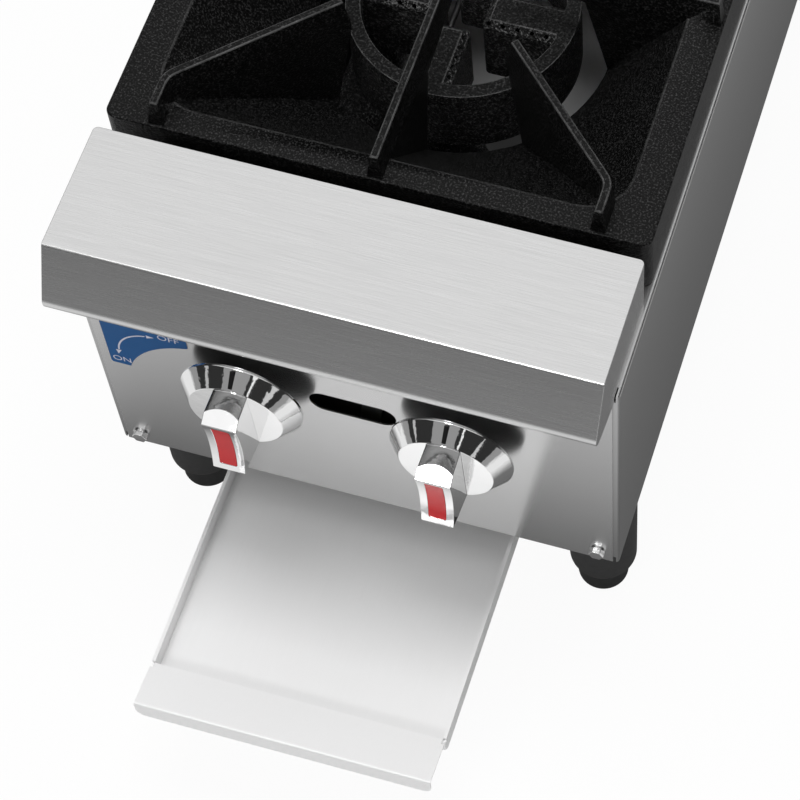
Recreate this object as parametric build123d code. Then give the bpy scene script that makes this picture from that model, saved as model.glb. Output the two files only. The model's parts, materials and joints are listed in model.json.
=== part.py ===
from build123d import *
import os
from math import cos, radians, sin, sqrt

# Countertop gas hotplate with two burners, one behind the other. Millimetres, +Z up.
# Working frame: x = 0 on the centre line, y = 0 on the front panel's face with +y to the rear,
# z = 0 on the counter. The finished pieces are then moved so that the origin is the middle of
# the bottom of the box round the whole hotplate, with its drip tray drawn out.

# Sheet steel
SHEET = 1.0
BEND_R = 1.9
RELIEF = 6.0
GAP = 0.3

# How far a cutting solid runs past the face it opens
CUT = 1.0

# Body
BODY_W = 305.0
REAR_MARGIN = 9.4
BODY_BOTTOM = 107.0
BODY_H = 196.0
SIDE_FLANGE = 22.0
BOTTOM_FLANGE = 40.0
PANEL_MARGIN = 3.6
RETURN_DEPTH = 14.0
RETURN_INSET = 1.5
TONGUE_MARGIN = 3.0
TONGUE_H = 19.0
REAR_RISE = 42.0
REAR_LIP = 7.0

# Front ledge, a bent sheet with closed ends
LEDGE_INSET = 2.4
LEDGE_H = 45.0
LEDGE_BACK = 58.3
LEDGE_NOSE = -17.5
LEDGE_TOE = -36.9
LEDGE_TOE_RISE = 4.6
LEDGE_LIP_DROP = 4.0
LEDGE_NOSE_R = 2.5
LEDGE_TOE_R = 8.0
LEDGE_CORNER_R = 3.0
LEDGE_FLANGE_H = 20.0

# Slot in the front panel
SLOT_L = 50.5
SLOT_H = 18.0

# Bottom panel
OPENING_INSET = 8.1
OPENING_MARGIN = 60.0
OPENING_RIM = 8.0

# Rear vents
VENT_L = 40.0
VENT_H = 6.0
VENT_PITCH = 52.0
VENTS_PER_ROW = 4
VENT_ROWS = 3
VENT_ROW_PITCH = 18.0
VENT_Z = 225.0

# Drip tray and its runners
TRAY_INSET = 64.4
TRAY_SHORTER = 40.0
TRAY_WALL_H = 16.2
TRAY_TOP = 99.5
TRAY_FRONT = -130.2
TRAY_BEND_R = 1.6
TRAY_TOE_R = 4.0
TRAY_HEM_H = 7.0
HANDLE_INSET = 0.15
HANDLE_REACH = 27.3
HANDLE_RISE = 2.9
HANDLE_DROP = 14.4
HANDLE_CORNER_R = 6.0
HANDLE_NOTCH = 2.0
RUNNER_SIDE_GAP = 0.9
RUNNER_FRONT = 18.0
RUNNER_FOOT = 9.0
RUNNER_FLANGE = 16.0
RUNNER_STOP_H = 12.0
TRAY_TRAVEL_IN = 127.0

# Legs with screw feet
LEG_INSET_X = 22.5
LEG_INSET_Y = 44.6
LEG_R = 20.6
LEG_BOTTOM = 21.0
LEG_TAPER_H = 6.0
LEG_TAPER = 4.0
LEG_CAP = 20.0
FOOT_R = 15.6
FOOT_L = 74.0
FOOT_CLEARANCE = 0.1
FOOT_EDGE_R = 1.5

# Threaded fasteners: radius of the shank, width across flats and height of the head
STUD_R = 5.0
STUD_NUT_AF = 17.0
STUD_NUT_H = 8.0
STUD_GRIP = 14.0
STUD_TIP = 2.0
FIT = 0.05
BOLT_R = 2.5
BOLT_AF = 8.0
BOLT_HEAD_H = 2.8
BOLT_L = 10.0
WASHER_R = 5.0
WASHER_T = 1.0
BOLT_INSET = 12.8
BOLT_RISE = 11.0
SCREW_R = 2.0
SCREW_HEAD_R = 3.6
SCREW_HEAD_H = 2.2
SCREW_L = 6.0
HOLE_CLEARANCE = 0.3

# Knobs and gas valves
KNOB_INSET = 91.9
KNOB_Z = 216.5
KNOB_BACK = -10.0
SKIRT_R = 35.5
SKIRT_RIM = 1.6
DISC_R = 27.15
DISC_Y = -21.4
KNOB_WALL = 2.4
HUB_R = 8.0
GRIP_W_TOP = 19.4
GRIP_W_BOTTOM = 22.0
GRIP_FRONT_Y = -41.8
GRIP_FRONT_W_TOP = 20.2
GRIP_FRONT_W_BOTTOM = 18.7
GRIP_TOP = 26.2
GRIP_CHAMFER = 5.6
GRIP_CHAMFER_DEPTH = 9.0
GRIP_BOTTOM = -27.4
GRIP_BOTTOM_BACK = -24.8
GRIP_DIP = 2.6
INLAY_W = 10.2
INLAY_TOP = 17.0
INLAY_BOTTOM = -22.5
INLAY_DEPTH = 1.2
INLAY_R = 1.2
STEM_R = 4.0
STEM_CLEARANCE = 0.05
STEM_FLAT = 2.6
STEM_HOLE_R = 10.0
STEM_FRONT = -25.0
STEM_BACK = 38.0
VALVE_FRONT = 10.0
VALVE_R = 12.0
VALVE_BACK = 46.0
VALVE_GLAND_R = 7.0
VALVE_GLAND_L = 8.0
VALVE_NECK_R = 8.0
VALVE_HEX_AF = 19.0
VALVE_HEX_L = 8.0
HOOD_R = 5.7
HOOD_AF = 14.0
HOOD_HEX_L = 14.0
HOOD_BORE_R = 1.1

# Gas pipes
PIPE_R = 13.35
PIPE_BORE_R = 10.4
MANIFOLD_Y = 33.0
MANIFOLD_Z = 165.0
MANIFOLD_OVERHANG = 31.4
CAP_R = 17.0
CAP_L = 16.0
CAP_WALL = 5.0
ELBOW_R = 22.0
ELBOW_WALL = 4.0
ELBOW_SOCKET = 11.0
SUPPLY_ROOM = 1.2
INLET_REACH = 34.0
INLET_R = 13.0
INLET_L = 22.0
BRACKET_T = 2.0
STRAP_W = 12.0
STRAP_FOOT = 16.0

# Burners: castings with a ring and four arms that point to its centre
GRATE_FRONT_GAP = 10.3
GRATE_PITCH_GAP = 2.0
RING_R = 65.9
RING_BORE_R = 57.5
SIDE_ARM_HALF_W = 12.2
SIDE_ARM_TIP = 14.0
END_ARM_HALF_W = 9.6
END_ARM_TIP = 16.6
ARM_TIP_R = 3.0
ARM_CHAMFER = 4.0
HEAD_TOP = 307.8
HEAD_H = 36.3
RING_WALL = 2.6
ARM_WALL = 4.0
HEAD_ROOF = 5.0
PORT_R = 1.5
PORT_SIDES = 6
ARM_PORTS = 5
ARM_PORT_END = 51.0
SIDE_PORT_PITCH = 8.4
END_PORT_PITCH = 7.0
WALL_PORTS = 45
WALL_PORT_START = -1.6
WALL_PORT_DROPS = (8.3, 25.3)
BASE_H = 9.5
BASE_FLOOR = 3.0
NECK_Y = -42.0
NECK_Z = 241.0
NECK_WALL = 2.0
TUBE_R = 15.5
TUBE_BORE_R = 12.0
TUBE_BEND_R = 22.0
TUBE_RUN_IN = 63.6
MOUTH_Y = 86.0
MOUTH_R = 22.0
MOUTH_L = 16.0
MOUTH_PLATE = 3.0
MOUTH_BOSS_R = 8.5
MOUTH_BOSS_L = 2.5
AIR_HOLE_R = 4.2
AIR_HOLE_ORBIT = 15.0
AIR_HOLES = 4
SHUTTER_T = 1.5
SHUTTER_TAB = 8.0
SHUTTER_GAP = 0.2
RUNNING_GAP = 0.08
HOOD_FIT = 0.25
BRIDGE_TOP = 199.0
BRIDGE_W = 62.0
BRIDGE_REAR = 46.0
BRIDGE_H = 14.0
BRIDGE_T = 1.5
FOOT_BOSS_R = 9.0
BURNER_SCREW_R = 3.0
BURNER_SCREW_AF = 10.0
BURNER_SCREW_HEAD_H = 4.0
BURNER_SCREW_L = 12.0

# Standing pilots
PILOT_X = 12.0
PILOT_VALVE_R = 5.0
PILOT_VALVE_H = 22.0
PILOT_OUTLET_DROP = 6.0
PILOT_OUTLET_L = 3.0
PILOT_RUN = 20.0
PILOT_TUBE_R = 2.0
PILOT_BEND_R = 12.0
PILOT_DROP = 1.5
PILOT_LOW_Z = 206.0
PILOT_SIDE_X = -30.0
PILOT_TIP_X = -4.4
PILOT_TIP_R = 2.6
PILOT_TIP_L = 12.0
PILOT_TIP_GAP = 2.5
PILOT_RISE_Y = 50.0

# Grates: one cast bowl over each burner, with fingers that carry the pans
GRATE_INSET = 2.5
GRATE_WALL = 6.0
GRATE_PLATE = 6.0
GRATE_TOP_RISE = 41.5
GRATE_EDGE_R = 5.0
GRATE_CORNER_R = 6.0
RIM_SIDE = 20.0
RIM_END = 14.7
BOWL_CORNER_R = 25.0
BOWL_DROP = 46.0
BOWL_MOUTH_R = 98.0
BOWL_CREASE = 36.0
FINGER_RISE = 16.0
FINGER_TOP_W = 4.4
FINGER_DRAFT = 7.0
FINGER_END_INSET = 3.6
FINGER_TIP = 30.0
FINGER_TIP_H = 16.5
FINGER_KNEE = 72.0
FINGER_KNEE_H = 23.0
CORNER_FINGER_INSET = 29.0
CORNER_FINGER_RUN = 19.4
CORNER_FINGER_TIP_X = 48.2
CORNER_FINGER_TIP_Y = 55.2
CORNER_FINGER_R = 12.0

# Sizes and places that follow from the ones above
GRATE_W = BODY_W - 2 * GRATE_INSET
LEDGE_W = BODY_W - 2 * LEDGE_INSET
TRAY_W = BODY_W - 2 * TRAY_INSET
HANDLE_W = TRAY_W - 2 * HANDLE_INSET
OPENING_W = TRAY_W - 2 * OPENING_INSET
KNOB_X = BODY_W / 2 - KNOB_INSET
LEG_X = BODY_W / 2 - LEG_INSET_X
BOLT_X = BODY_W / 2 - BOLT_INSET
MANIFOLD_LEFT = -KNOB_X - MANIFOLD_OVERHANG
BURNER_FRONT_Y = LEDGE_BACK + GRATE_FRONT_GAP + GRATE_W / 2
BURNER_REAR_Y = BURNER_FRONT_Y + GRATE_W + GRATE_PITCH_GAP
BODY_D = BURNER_REAR_Y + GRATE_W / 2 + REAR_MARGIN
OPENING_REAR = BODY_D - OPENING_MARGIN
TRAY_L = BODY_D - TRAY_SHORTER
BODY_TOP = BODY_BOTTOM + BODY_H
LEDGE_TOP = BODY_TOP + LEDGE_H
PANEL_HALF = BODY_W / 2 - PANEL_MARGIN
FLOOR_Z = BODY_BOTTOM + SHEET
BOLT_Z = BODY_BOTTOM + BOLT_RISE
REAR_SCREW_TOP = BODY_TOP - BOLT_RISE
LEDGE_SCREW_Z = BODY_TOP - LEDGE_LIP_DROP + 0.6 * LEDGE_FLANGE_H
LEDGE_SCREW_XS = (-0.3 * LEDGE_W, 0, 0.3 * LEDGE_W)
TRAY_BOTTOM = TRAY_TOP - TRAY_WALL_H
TRAY_REAR = TRAY_FRONT + TRAY_L
RUNNER_SCREW_X = TRAY_W / 2 + RUNNER_SIDE_GAP + 0.6 * RUNNER_FLANGE
RUNNER_SCREW_YS = [LEG_INSET_Y + step * 0.3 * BODY_D for step in range(3)]
# Turn, half width, tip and port pitch of each arm: front, right, rear and left
SIDE_ARM = (SIDE_ARM_HALF_W, SIDE_ARM_TIP, SIDE_PORT_PITCH)
END_ARM = (END_ARM_HALF_W, END_ARM_TIP, END_PORT_PITCH)
ARMS = [(0, *END_ARM), (90, *SIDE_ARM), (180, *END_ARM), (270, *SIDE_ARM)]
LEG_YS = {"front": LEG_INSET_Y, "rear": BODY_D - LEG_INSET_Y}
RETURN_HALF = BODY_W / 2 - BOTTOM_FLANGE - RETURN_INSET
BURNER_YS = {"front": BURNER_FRONT_Y, "rear": BURNER_REAR_Y}
HEAD_BOTTOM = HEAD_TOP - HEAD_H
BASE_TOP = HEAD_BOTTOM - GAP
BASE_BOTTOM = BASE_TOP - BASE_H
PILOT_Z = HEAD_BOTTOM - PILOT_DROP
GRATE_BOTTOM = BODY_TOP + GAP
GRATE_TOP = BODY_TOP + GRATE_TOP_RISE
FINGER_TOP = GRATE_TOP + FINGER_RISE
INLET_END = BODY_D + INLET_REACH
SUPPLY_X = BODY_W / 2 - SIDE_FLANGE - SUPPLY_ROOM - PIPE_R
PART_FRONT = TRAY_FRONT - HANDLE_REACH
ORIGIN_Y = (PART_FRONT + INLET_END) / 2


def box(x, y, z):
    """Box between the two limits given for each axis."""
    spans = (x, y, z)
    centre = [(low + high) / 2 for low, high in spans]
    return Pos(*centre) * Box(*[high - low for low, high in spans])


def mirrored_box(x, y, z):
    """The same box on both sides of the centre line."""
    return box(x, y, z) + box((-x[1], -x[0]), y, z)


def outline(points, radii):
    """Closed outline, each corner rounded by its own radius."""
    return make_face(FilletPolyline(*points, radius=radii, close=True))


def folded(points, radius, thickness=SHEET):
    """Section of a bent sheet whose thickness lies to the left of its path."""
    path = FilletPolyline(*points, radius=radius)
    return make_face(offset(path, thickness, side=Side.LEFT, closed=True).edges())


def along_x(section, x):
    """Section drawn in y and z, extruded between two x."""
    return extrude(Plane.YZ.offset(x[0]) * section, x[1] - x[0])


def along_y(section, y):
    """Section drawn in x and z, extruded between two y."""
    return extrude(Plane.XZ.offset(-y[0]) * section, y[0] - y[1])


def along_z(section, z):
    """Section drawn in x and y, extruded between two z."""
    return extrude(Plane.XY.offset(z[0]) * section, z[1] - z[0])


def rod_x(radius, x, y, z):
    return along_x(Pos(y, z) * Circle(radius), x)


def rod_y(radius, x, y, z):
    return along_y(Pos(x, z) * Circle(radius), y)


def rod_z(radius, x, y, z):
    return along_z(Pos(x, y) * Circle(radius), z)


def hexagon(across_flats):
    return RegularPolygon(across_flats / 2, 6, major_radius=False)


def turned_y(profile, x, z):
    """Solid turned about an axis along y, from (radius, y) points."""
    section = make_face(Polyline(*profile, close=True))
    return Pos(x, 0, z) * revolve(section, Axis.Y, 360)


def turned_z(profile, x, y):
    """Solid turned about an upright axis, from (radius, z) points."""
    section = Plane.XZ * make_face(Polyline(*profile, close=True))
    return Pos(x, y, 0) * revolve(section, Axis.Z, 360)


def swept(route, radii, radius):
    """Round bar along a route of points with rounded bends."""
    path = FilletPolyline(*route, radius=radii)
    return sweep(Plane(origin=path @ 0, z_dir=path % 0) * Circle(radius), path=path)


def opposite(solid):
    """The same piece for the other side of the centre line."""
    return mirror(solid, about=Plane.YZ)


def folded_shell(solid_box, inner_box, axis, radius):
    """Pan pressed from one sheet: two nested boxes, with bends round one face."""
    outer = fillet(solid_box.faces().sort_by(axis)[-1].edges(), radius)
    inner = fillet(inner_box.faces().sort_by(axis)[-1].edges(), radius - SHEET)
    return outer - inner


# Body panels


def side_panel():
    """Right side, with flanges turned in along its top, front, rear and bottom."""
    x_out = BODY_W / 2
    x_in = x_out - BOTTOM_FLANGE
    front = SHEET
    rear = BODY_D - SHEET
    panel = folded_shell(
        box((x_in, x_out), (front, rear), (BODY_BOTTOM, BODY_TOP)),
        box(
            (x_in - SHEET, x_out - SHEET),
            (front + SHEET, rear - SHEET),
            (BODY_BOTTOM + SHEET, BODY_TOP - SHEET),
        ),
        Axis.X,
        BEND_R,
    )
    panel -= box((x_in - SHEET, x_out - SIDE_FLANGE), (0, BODY_D), (FLOOR_Z, BODY_TOP + SHEET))
    for y in (front, rear):
        for z in (BODY_BOTTOM, BODY_TOP):
            corner = Box(2 * BOTTOM_FLANGE, 2 * RELIEF, 2 * RELIEF)
            panel -= Pos(x_out - BEND_R - BOTTOM_FLANGE, y, z) * corner
    for z in (BOLT_Z, REAR_SCREW_TOP):
        panel -= rod_y(SCREW_R + HOLE_CLEARANCE, BOLT_X, (rear - 2 * SHEET, rear + SHEET), z)
    panel -= rod_y(BOLT_R + HOLE_CLEARANCE, BOLT_X, (0, front + 2 * SHEET), BOLT_Z)
    for y in LEG_YS.values():
        panel -= rod_z(STUD_R + HOLE_CLEARANCE, LEG_X, y, (BODY_BOTTOM - SHEET, FLOOR_Z + SHEET))
    return panel


def end_plate(top, holes):
    """Plate that closes the body's front, with its lower edge turned back."""
    section = folded([(0, top), (0, BODY_BOTTOM), (RETURN_DEPTH, BODY_BOTTOM)], BEND_R)
    plate = along_x(section, (-PANEL_HALF, PANEL_HALF))
    plate -= mirrored_box(
        (RETURN_HALF, PANEL_HALF + SHEET),
        (SHEET, RETURN_DEPTH + SHEET),
        (BODY_BOTTOM - SHEET, BODY_BOTTOM + BEND_R),
    )
    for radius, x, z in holes:
        plate -= rod_y(radius, x, (-SHEET, 2 * SHEET), z)
    return plate


def front_panel():
    holes = [(BOLT_R + HOLE_CLEARANCE, x, BOLT_Z) for x in (-BOLT_X, BOLT_X)]
    holes += [(STEM_HOLE_R, x, KNOB_Z) for x in (-KNOB_X, KNOB_X)]
    holes += [(SCREW_R + HOLE_CLEARANCE, x, LEDGE_SCREW_Z) for x in LEDGE_SCREW_XS]
    shoulder = BODY_TOP - LEDGE_LIP_DROP - GAP
    panel = end_plate(shoulder + TONGUE_H, holes)
    panel -= along_y(Pos(0, KNOB_Z) * SlotOverall(SLOT_L, SLOT_H), (-SHEET, 2 * SHEET))
    panel -= mirrored_box(
        (PANEL_HALF - TONGUE_MARGIN, PANEL_HALF + SHEET),
        (-SHEET, 2 * SHEET),
        (shoulder, shoulder + TONGUE_H + SHEET),
    )
    return panel


def front_ledge():
    """Folded box, open underneath behind its lip, that carries the front edge of the top."""
    lip_z = BODY_TOP - LEDGE_LIP_DROP
    profile = outline(
        [
            (LEDGE_BACK, LEDGE_TOP),
            (LEDGE_NOSE, LEDGE_TOP),
            (LEDGE_TOE, BODY_TOP + LEDGE_TOE_RISE),
            (-GAP, lip_z),
            (-GAP, BODY_TOP),
            (LEDGE_BACK, BODY_TOP),
        ],
        [0, LEDGE_NOSE_R, LEDGE_TOE_R, 0, 0, 0],
    )
    half = LEDGE_W / 2
    shell = along_x(profile, (-half, half))
    back = shell.edges().filter_by(Axis.Z).group_by(Axis.Y)[-1]
    shell = fillet(back, LEDGE_CORNER_R)
    inner = offset(profile, -SHEET, kind=Kind.INTERSECTION)
    hollow = along_x(inner, (SHEET - half, half - SHEET))
    hollow += box(
        (SHEET - half, half - SHEET),
        (-GAP, LEDGE_BACK - SHEET),
        (BODY_TOP - SHEET, LEDGE_TOP - LEDGE_H / 2),
    )
    back = hollow.edges().filter_by(Axis.Z).group_by(Axis.Y)[-1]
    shell -= fillet(back, LEDGE_CORNER_R - SHEET)
    shell += box(
        (SHEET - half, half - SHEET), (-GAP - SHEET, -GAP), (lip_z, lip_z + LEDGE_FLANGE_H)
    )
    for x in LEDGE_SCREW_XS:
        shell -= rod_y(SCREW_R + HOLE_CLEARANCE, x, (-2 * SHEET, 0), LEDGE_SCREW_Z)
    return shell


def rear_panel():
    """Rear plate with a lip over its top edge, cooling slots and the hole for the gas pipe."""
    top = BODY_TOP + REAR_RISE
    points = [(REAR_LIP, top), (0, top), (0, BODY_BOTTOM), (RETURN_DEPTH, BODY_BOTTOM)]
    plate = along_x(folded(points, BEND_R), (-PANEL_HALF, PANEL_HALF))
    plate -= mirrored_box(
        (RETURN_HALF, PANEL_HALF + SHEET),
        (SHEET, RETURN_DEPTH + SHEET),
        (BODY_BOTTOM - SHEET, BODY_BOTTOM + BEND_R),
    )
    plate -= rod_y(PIPE_R + SHEET, -SUPPLY_X, (-SHEET, 2 * SHEET), MANIFOLD_Z)
    for x in (-BOLT_X, BOLT_X):
        for z in (BOLT_Z, REAR_SCREW_TOP):
            plate -= rod_y(SCREW_R + HOLE_CLEARANCE, x, (-SHEET, 2 * SHEET), z)
    for row in range(VENT_ROWS):
        for column in range(VENTS_PER_ROW):
            x = (column - (VENTS_PER_ROW - 1) / 2) * VENT_PITCH
            z = VENT_Z + row * VENT_ROW_PITCH
            plate -= along_y(Pos(x, z) * SlotOverall(VENT_L, VENT_H), (-SHEET, 2 * SHEET))
    return Pos(0, BODY_D, 0) * Rot(0, 0, 180) * plate


def bottom_panel():
    """Floor on the sides' bottom flanges, open over the tray, with a rim turned up round it."""
    half = BODY_W / 2 - BEND_R - GAP
    y = (3 * SHEET, BODY_D - 3 * SHEET)
    floor = box((-half, half), y, (FLOOR_Z, FLOOR_Z + SHEET))
    opening = ((-OPENING_W / 2, OPENING_W / 2), (OPENING_MARGIN, OPENING_REAR))
    rim = [(low - SHEET, high + SHEET) for low, high in opening]
    floor += box(*rim, (FLOOR_Z, FLOOR_Z + OPENING_RIM))
    floor -= box(*opening, (FLOOR_Z - SHEET, FLOOR_Z + OPENING_RIM + SHEET))
    for side in (-1, 1):
        for y in LEG_YS.values():
            floor -= rod_z(STUD_R + HOLE_CLEARANCE, side * LEG_X, y, (BODY_BOTTOM, FLOOR_Z + 2 * SHEET))
        for y in RUNNER_SCREW_YS:
            screw_x = side * RUNNER_SCREW_X
            floor -= rod_z(SCREW_R + HOLE_CLEARANCE, screw_x, y, (BODY_BOTTOM, FLOOR_Z + 2 * SHEET))
    return floor


# Drip tray


def drip_tray():
    """Long shallow pan, its side walls hemmed and its front edge folded into a handle."""
    half = TRAY_W / 2
    pan = box((-half, half), (TRAY_FRONT, TRAY_REAR), (TRAY_BOTTOM, TRAY_TOP))
    hollow = box(
        (SHEET - half, half - SHEET),
        (TRAY_FRONT + SHEET, TRAY_REAR - SHEET),
        (TRAY_BOTTOM + SHEET, TRAY_TOP + SHEET),
    )
    for radius, cut in ((0, pan), (SHEET, hollow)):
        toe = cut.faces().sort_by(Axis.Z)[0].edges().sort_by(Axis.Y)[0]
        rounded = fillet(toe, TRAY_TOE_R - radius)
        rest = rounded.faces().sort_by(Axis.Z)[0].edges().filter_by(Axis.Y)
        rounded = fillet(rest, TRAY_BEND_R - min(radius, TRAY_BEND_R / 2))
        if radius == 0:
            tray = rounded
        else:
            tray -= rounded
    tray += mirrored_box(
        (half - 2 * SHEET, half - SHEET / 2),
        (TRAY_FRONT + 2 * SHEET, TRAY_REAR - SHEET / 2),
        (TRAY_TOP - TRAY_HEM_H, TRAY_TOP),
    )
    handle_front = TRAY_FRONT - HANDLE_REACH
    handle_top = TRAY_TOP + HANDLE_RISE
    route = [
        (TRAY_FRONT + SHEET, TRAY_TOP),
        (handle_front, handle_top),
        (handle_front, handle_top - HANDLE_DROP),
    ]
    handle = along_x(folded(route, TRAY_BEND_R), (-HANDLE_W / 2, HANDLE_W / 2))
    face = outline(
        [
            (-HANDLE_W / 2, handle_top + SHEET),
            (-HANDLE_W / 2, handle_top - HANDLE_DROP),
            (HANDLE_W / 2, handle_top - HANDLE_DROP),
            (HANDLE_W / 2, handle_top + SHEET),
        ],
        [0, HANDLE_CORNER_R, HANDLE_CORNER_R, 0],
    )
    handle &= along_y(face, (handle_front - SHEET, TRAY_FRONT + 2 * SHEET))
    tray += handle
    tray -= mirrored_box(
        (half - HANDLE_NOTCH, half + SHEET),
        (TRAY_FRONT - HANDLE_NOTCH, TRAY_FRONT + HANDLE_NOTCH),
        (TRAY_TOP - HANDLE_NOTCH, TRAY_TOP + SHEET),
    )
    return tray


def tray_runner():
    """Right runner: hung under the floor, with a foot that carries the tray and a stop."""
    web = TRAY_W / 2 + RUNNER_SIDE_GAP
    foot_z = TRAY_BOTTOM - GAP - SHEET
    rear = TRAY_REAR + TRAY_TRAVEL_IN + GAP
    runner = box((web, web + RUNNER_FLANGE), (RUNNER_FRONT, rear), (BODY_BOTTOM, FLOOR_Z))
    runner += box((web, web + SHEET), (RUNNER_FRONT, rear), (foot_z, FLOOR_Z))
    runner += box((web - RUNNER_FOOT, web + SHEET), (RUNNER_FRONT, rear), (foot_z, foot_z + SHEET))
    runner += box(
        (web - RUNNER_FOOT, web + SHEET), (rear, rear + SHEET), (foot_z, foot_z + RUNNER_STOP_H)
    )
    for y in RUNNER_SCREW_YS:
        hole_z = (BODY_BOTTOM - CUT, FLOOR_Z + CUT)
        runner -= rod_z(SCREW_R + HOLE_CLEARANCE, RUNNER_SCREW_X, y, hole_z)
    return runner


# Legs and fasteners


def leg():
    """Thick tube with a solid cap, tapered at its lower end and bored for the screw foot."""
    bore = FOOT_R + FOOT_CLEARANCE
    stud_bore = STUD_R + FIT
    cap = BODY_BOTTOM - LEG_CAP
    profile = [
        (bore, LEG_BOTTOM),
        (LEG_R - LEG_TAPER, LEG_BOTTOM),
        (LEG_R, LEG_BOTTOM + LEG_TAPER_H),
        (LEG_R, BODY_BOTTOM),
        (stud_bore, BODY_BOTTOM),
        (stud_bore, BODY_BOTTOM - STUD_GRIP - GAP),
        (0, BODY_BOTTOM - STUD_GRIP - GAP),
        (0, cap),
        (bore, cap),
    ]
    return turned_z(profile, 0, 0)


def foot():
    """Screw foot: most of its length is up inside the leg."""
    profile = [
        (0, 0),
        (FOOT_R - FOOT_EDGE_R, 0),
        (FOOT_R, FOOT_EDGE_R),
        (FOOT_R, FOOT_L),
        (0, FOOT_L),
    ]
    return turned_z(profile, 0, 0)


def leg_stud():
    """Stud from the leg's cap through both floor sheets, with its nut."""
    nut_z = FLOOR_Z + SHEET
    stud = rod_z(STUD_R, 0, 0, (BODY_BOTTOM - STUD_GRIP, nut_z + STUD_NUT_H + STUD_TIP))
    return stud + along_z(hexagon(STUD_NUT_AF), (nut_z, nut_z + STUD_NUT_H))


def hex_bolt(radius, across_flats, head_h, length):
    """Bolt that points up from z = 0, its head below."""
    return along_z(hexagon(across_flats), (-head_h, 0)) + rod_z(radius, 0, 0, (0, length))


def screw():
    """Low round-headed screw that points up from z = 0."""
    head = rod_z(SCREW_HEAD_R, 0, 0, (-SCREW_HEAD_H, 0))
    head = chamfer(head.faces().sort_by(Axis.Z)[0].edges(), SCREW_HEAD_H / 2)
    return head + rod_z(SCREW_R, 0, 0, (0, SCREW_L))


def panel_bolt():
    return Rot(-90, 0, 0) * hex_bolt(BOLT_R, BOLT_AF, BOLT_HEAD_H, BOLT_L)


def panel_nut():
    y = (2 * SHEET, 2 * SHEET + BOLT_HEAD_H)
    return along_y(hexagon(BOLT_AF) - Circle(BOLT_R + FIT), y)


def panel_washer():
    return along_y(Circle(WASHER_R) - Circle(BOLT_R + FIT), (-WASHER_T, 0))


# Knobs, valves and gas pipes


def d_rod(radius, flat, y):
    """Round bar along y with a flat ground along its upper side."""
    section = Circle(radius) - Pos(0, flat + radius) * Rectangle(2 * radius, 2 * radius)
    return along_y(section, y)


def grip_block():
    """Bar of the grip: its sides flare towards the disc and its top end follows the disc."""
    ends = []
    for y, top_w, bottom_w, bottom in (
        (DISC_Y + KNOB_WALL / 2, GRIP_W_TOP, GRIP_W_BOTTOM, GRIP_BOTTOM_BACK),
        (GRIP_FRONT_Y, GRIP_FRONT_W_TOP, GRIP_FRONT_W_BOTTOM, GRIP_BOTTOM),
    ):
        corners = [
            (-top_w / 2, GRIP_TOP + CUT),
            (-bottom_w / 2, bottom),
            (bottom_w / 2, bottom),
            (top_w / 2, GRIP_TOP + CUT),
        ]
        ends.append(Plane.XZ.offset(-y) * make_face(Polyline(*corners, close=True)))
    bar = loft(ends, ruled=True)
    above = box((-SKIRT_R, SKIRT_R), (2 * GRIP_FRONT_Y, 0), (GRIP_TOP / 2, 2 * GRIP_TOP))
    bar -= above - rod_y(GRIP_TOP, 0, (2 * GRIP_FRONT_Y, 0), 0)
    corner = [
        (GRIP_FRONT_Y, GRIP_TOP - GRIP_CHAMFER),
        (GRIP_FRONT_Y + 2 * GRIP_CHAMFER_DEPTH, GRIP_TOP + GRIP_CHAMFER),
        (GRIP_FRONT_Y - 2 * GRIP_CHAMFER_DEPTH, GRIP_TOP + GRIP_CHAMFER),
        (GRIP_FRONT_Y - 2 * GRIP_CHAMFER_DEPTH, GRIP_TOP - GRIP_CHAMFER),
    ]
    bar -= along_x(make_face(Polyline(*corner, close=True)), (-SKIRT_R, SKIRT_R))
    return bar


def dip_cylinder(depth):
    """Large cylinder across the grip whose surface is the grip's hollowed front, or deeper."""
    top = GRIP_TOP - GRIP_CHAMFER
    half = (top - GRIP_BOTTOM) / 2
    radius = (half**2 + GRIP_DIP**2) / (2 * GRIP_DIP)
    axis_y = GRIP_FRONT_Y + GRIP_DIP - radius
    return rod_x(radius + depth, (-SKIRT_R, SKIRT_R), axis_y, top - half)


def inlay_prism(margin):
    """Upright rounded strip through the grip's front, drawn smaller by a margin."""
    width = INLAY_W - 2 * margin
    height = INLAY_TOP - INLAY_BOTTOM - 2 * margin
    strip = Pos(0, (INLAY_TOP + INLAY_BOTTOM) / 2) * RectangleRounded(width, height, INLAY_R)
    return along_y(strip, (2 * GRIP_FRONT_Y, GRIP_FRONT_Y / 2))


def knob():
    """Skirt and disc turned in one, hollow behind round a bored hub, with a bar grip."""
    body = turned_y(
        [
            (0, DISC_Y),
            (DISC_R, DISC_Y),
            (SKIRT_R, KNOB_BACK - SKIRT_RIM),
            (SKIRT_R, KNOB_BACK),
            (SKIRT_R - KNOB_WALL, KNOB_BACK),
            (DISC_R - KNOB_WALL, DISC_Y + KNOB_WALL),
            (HUB_R, DISC_Y + KNOB_WALL),
            (HUB_R, KNOB_BACK),
            (0, KNOB_BACK),
        ],
        0,
        0,
    )
    body += grip_block()
    body -= dip_cylinder(0)
    body -= inlay_prism(0) & dip_cylinder(INLAY_DEPTH)
    bore = (STEM_FRONT - GAP, KNOB_BACK + SHEET)
    return body - d_rod(STEM_R + FIT, STEM_FLAT + FIT, bore)


def knob_inlay():
    """Coloured strip let into the front of the grip."""
    skin = dip_cylinder(INLAY_DEPTH - FIT) - dip_cylinder(FIT)
    return inlay_prism(2 * FIT) & skin


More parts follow.
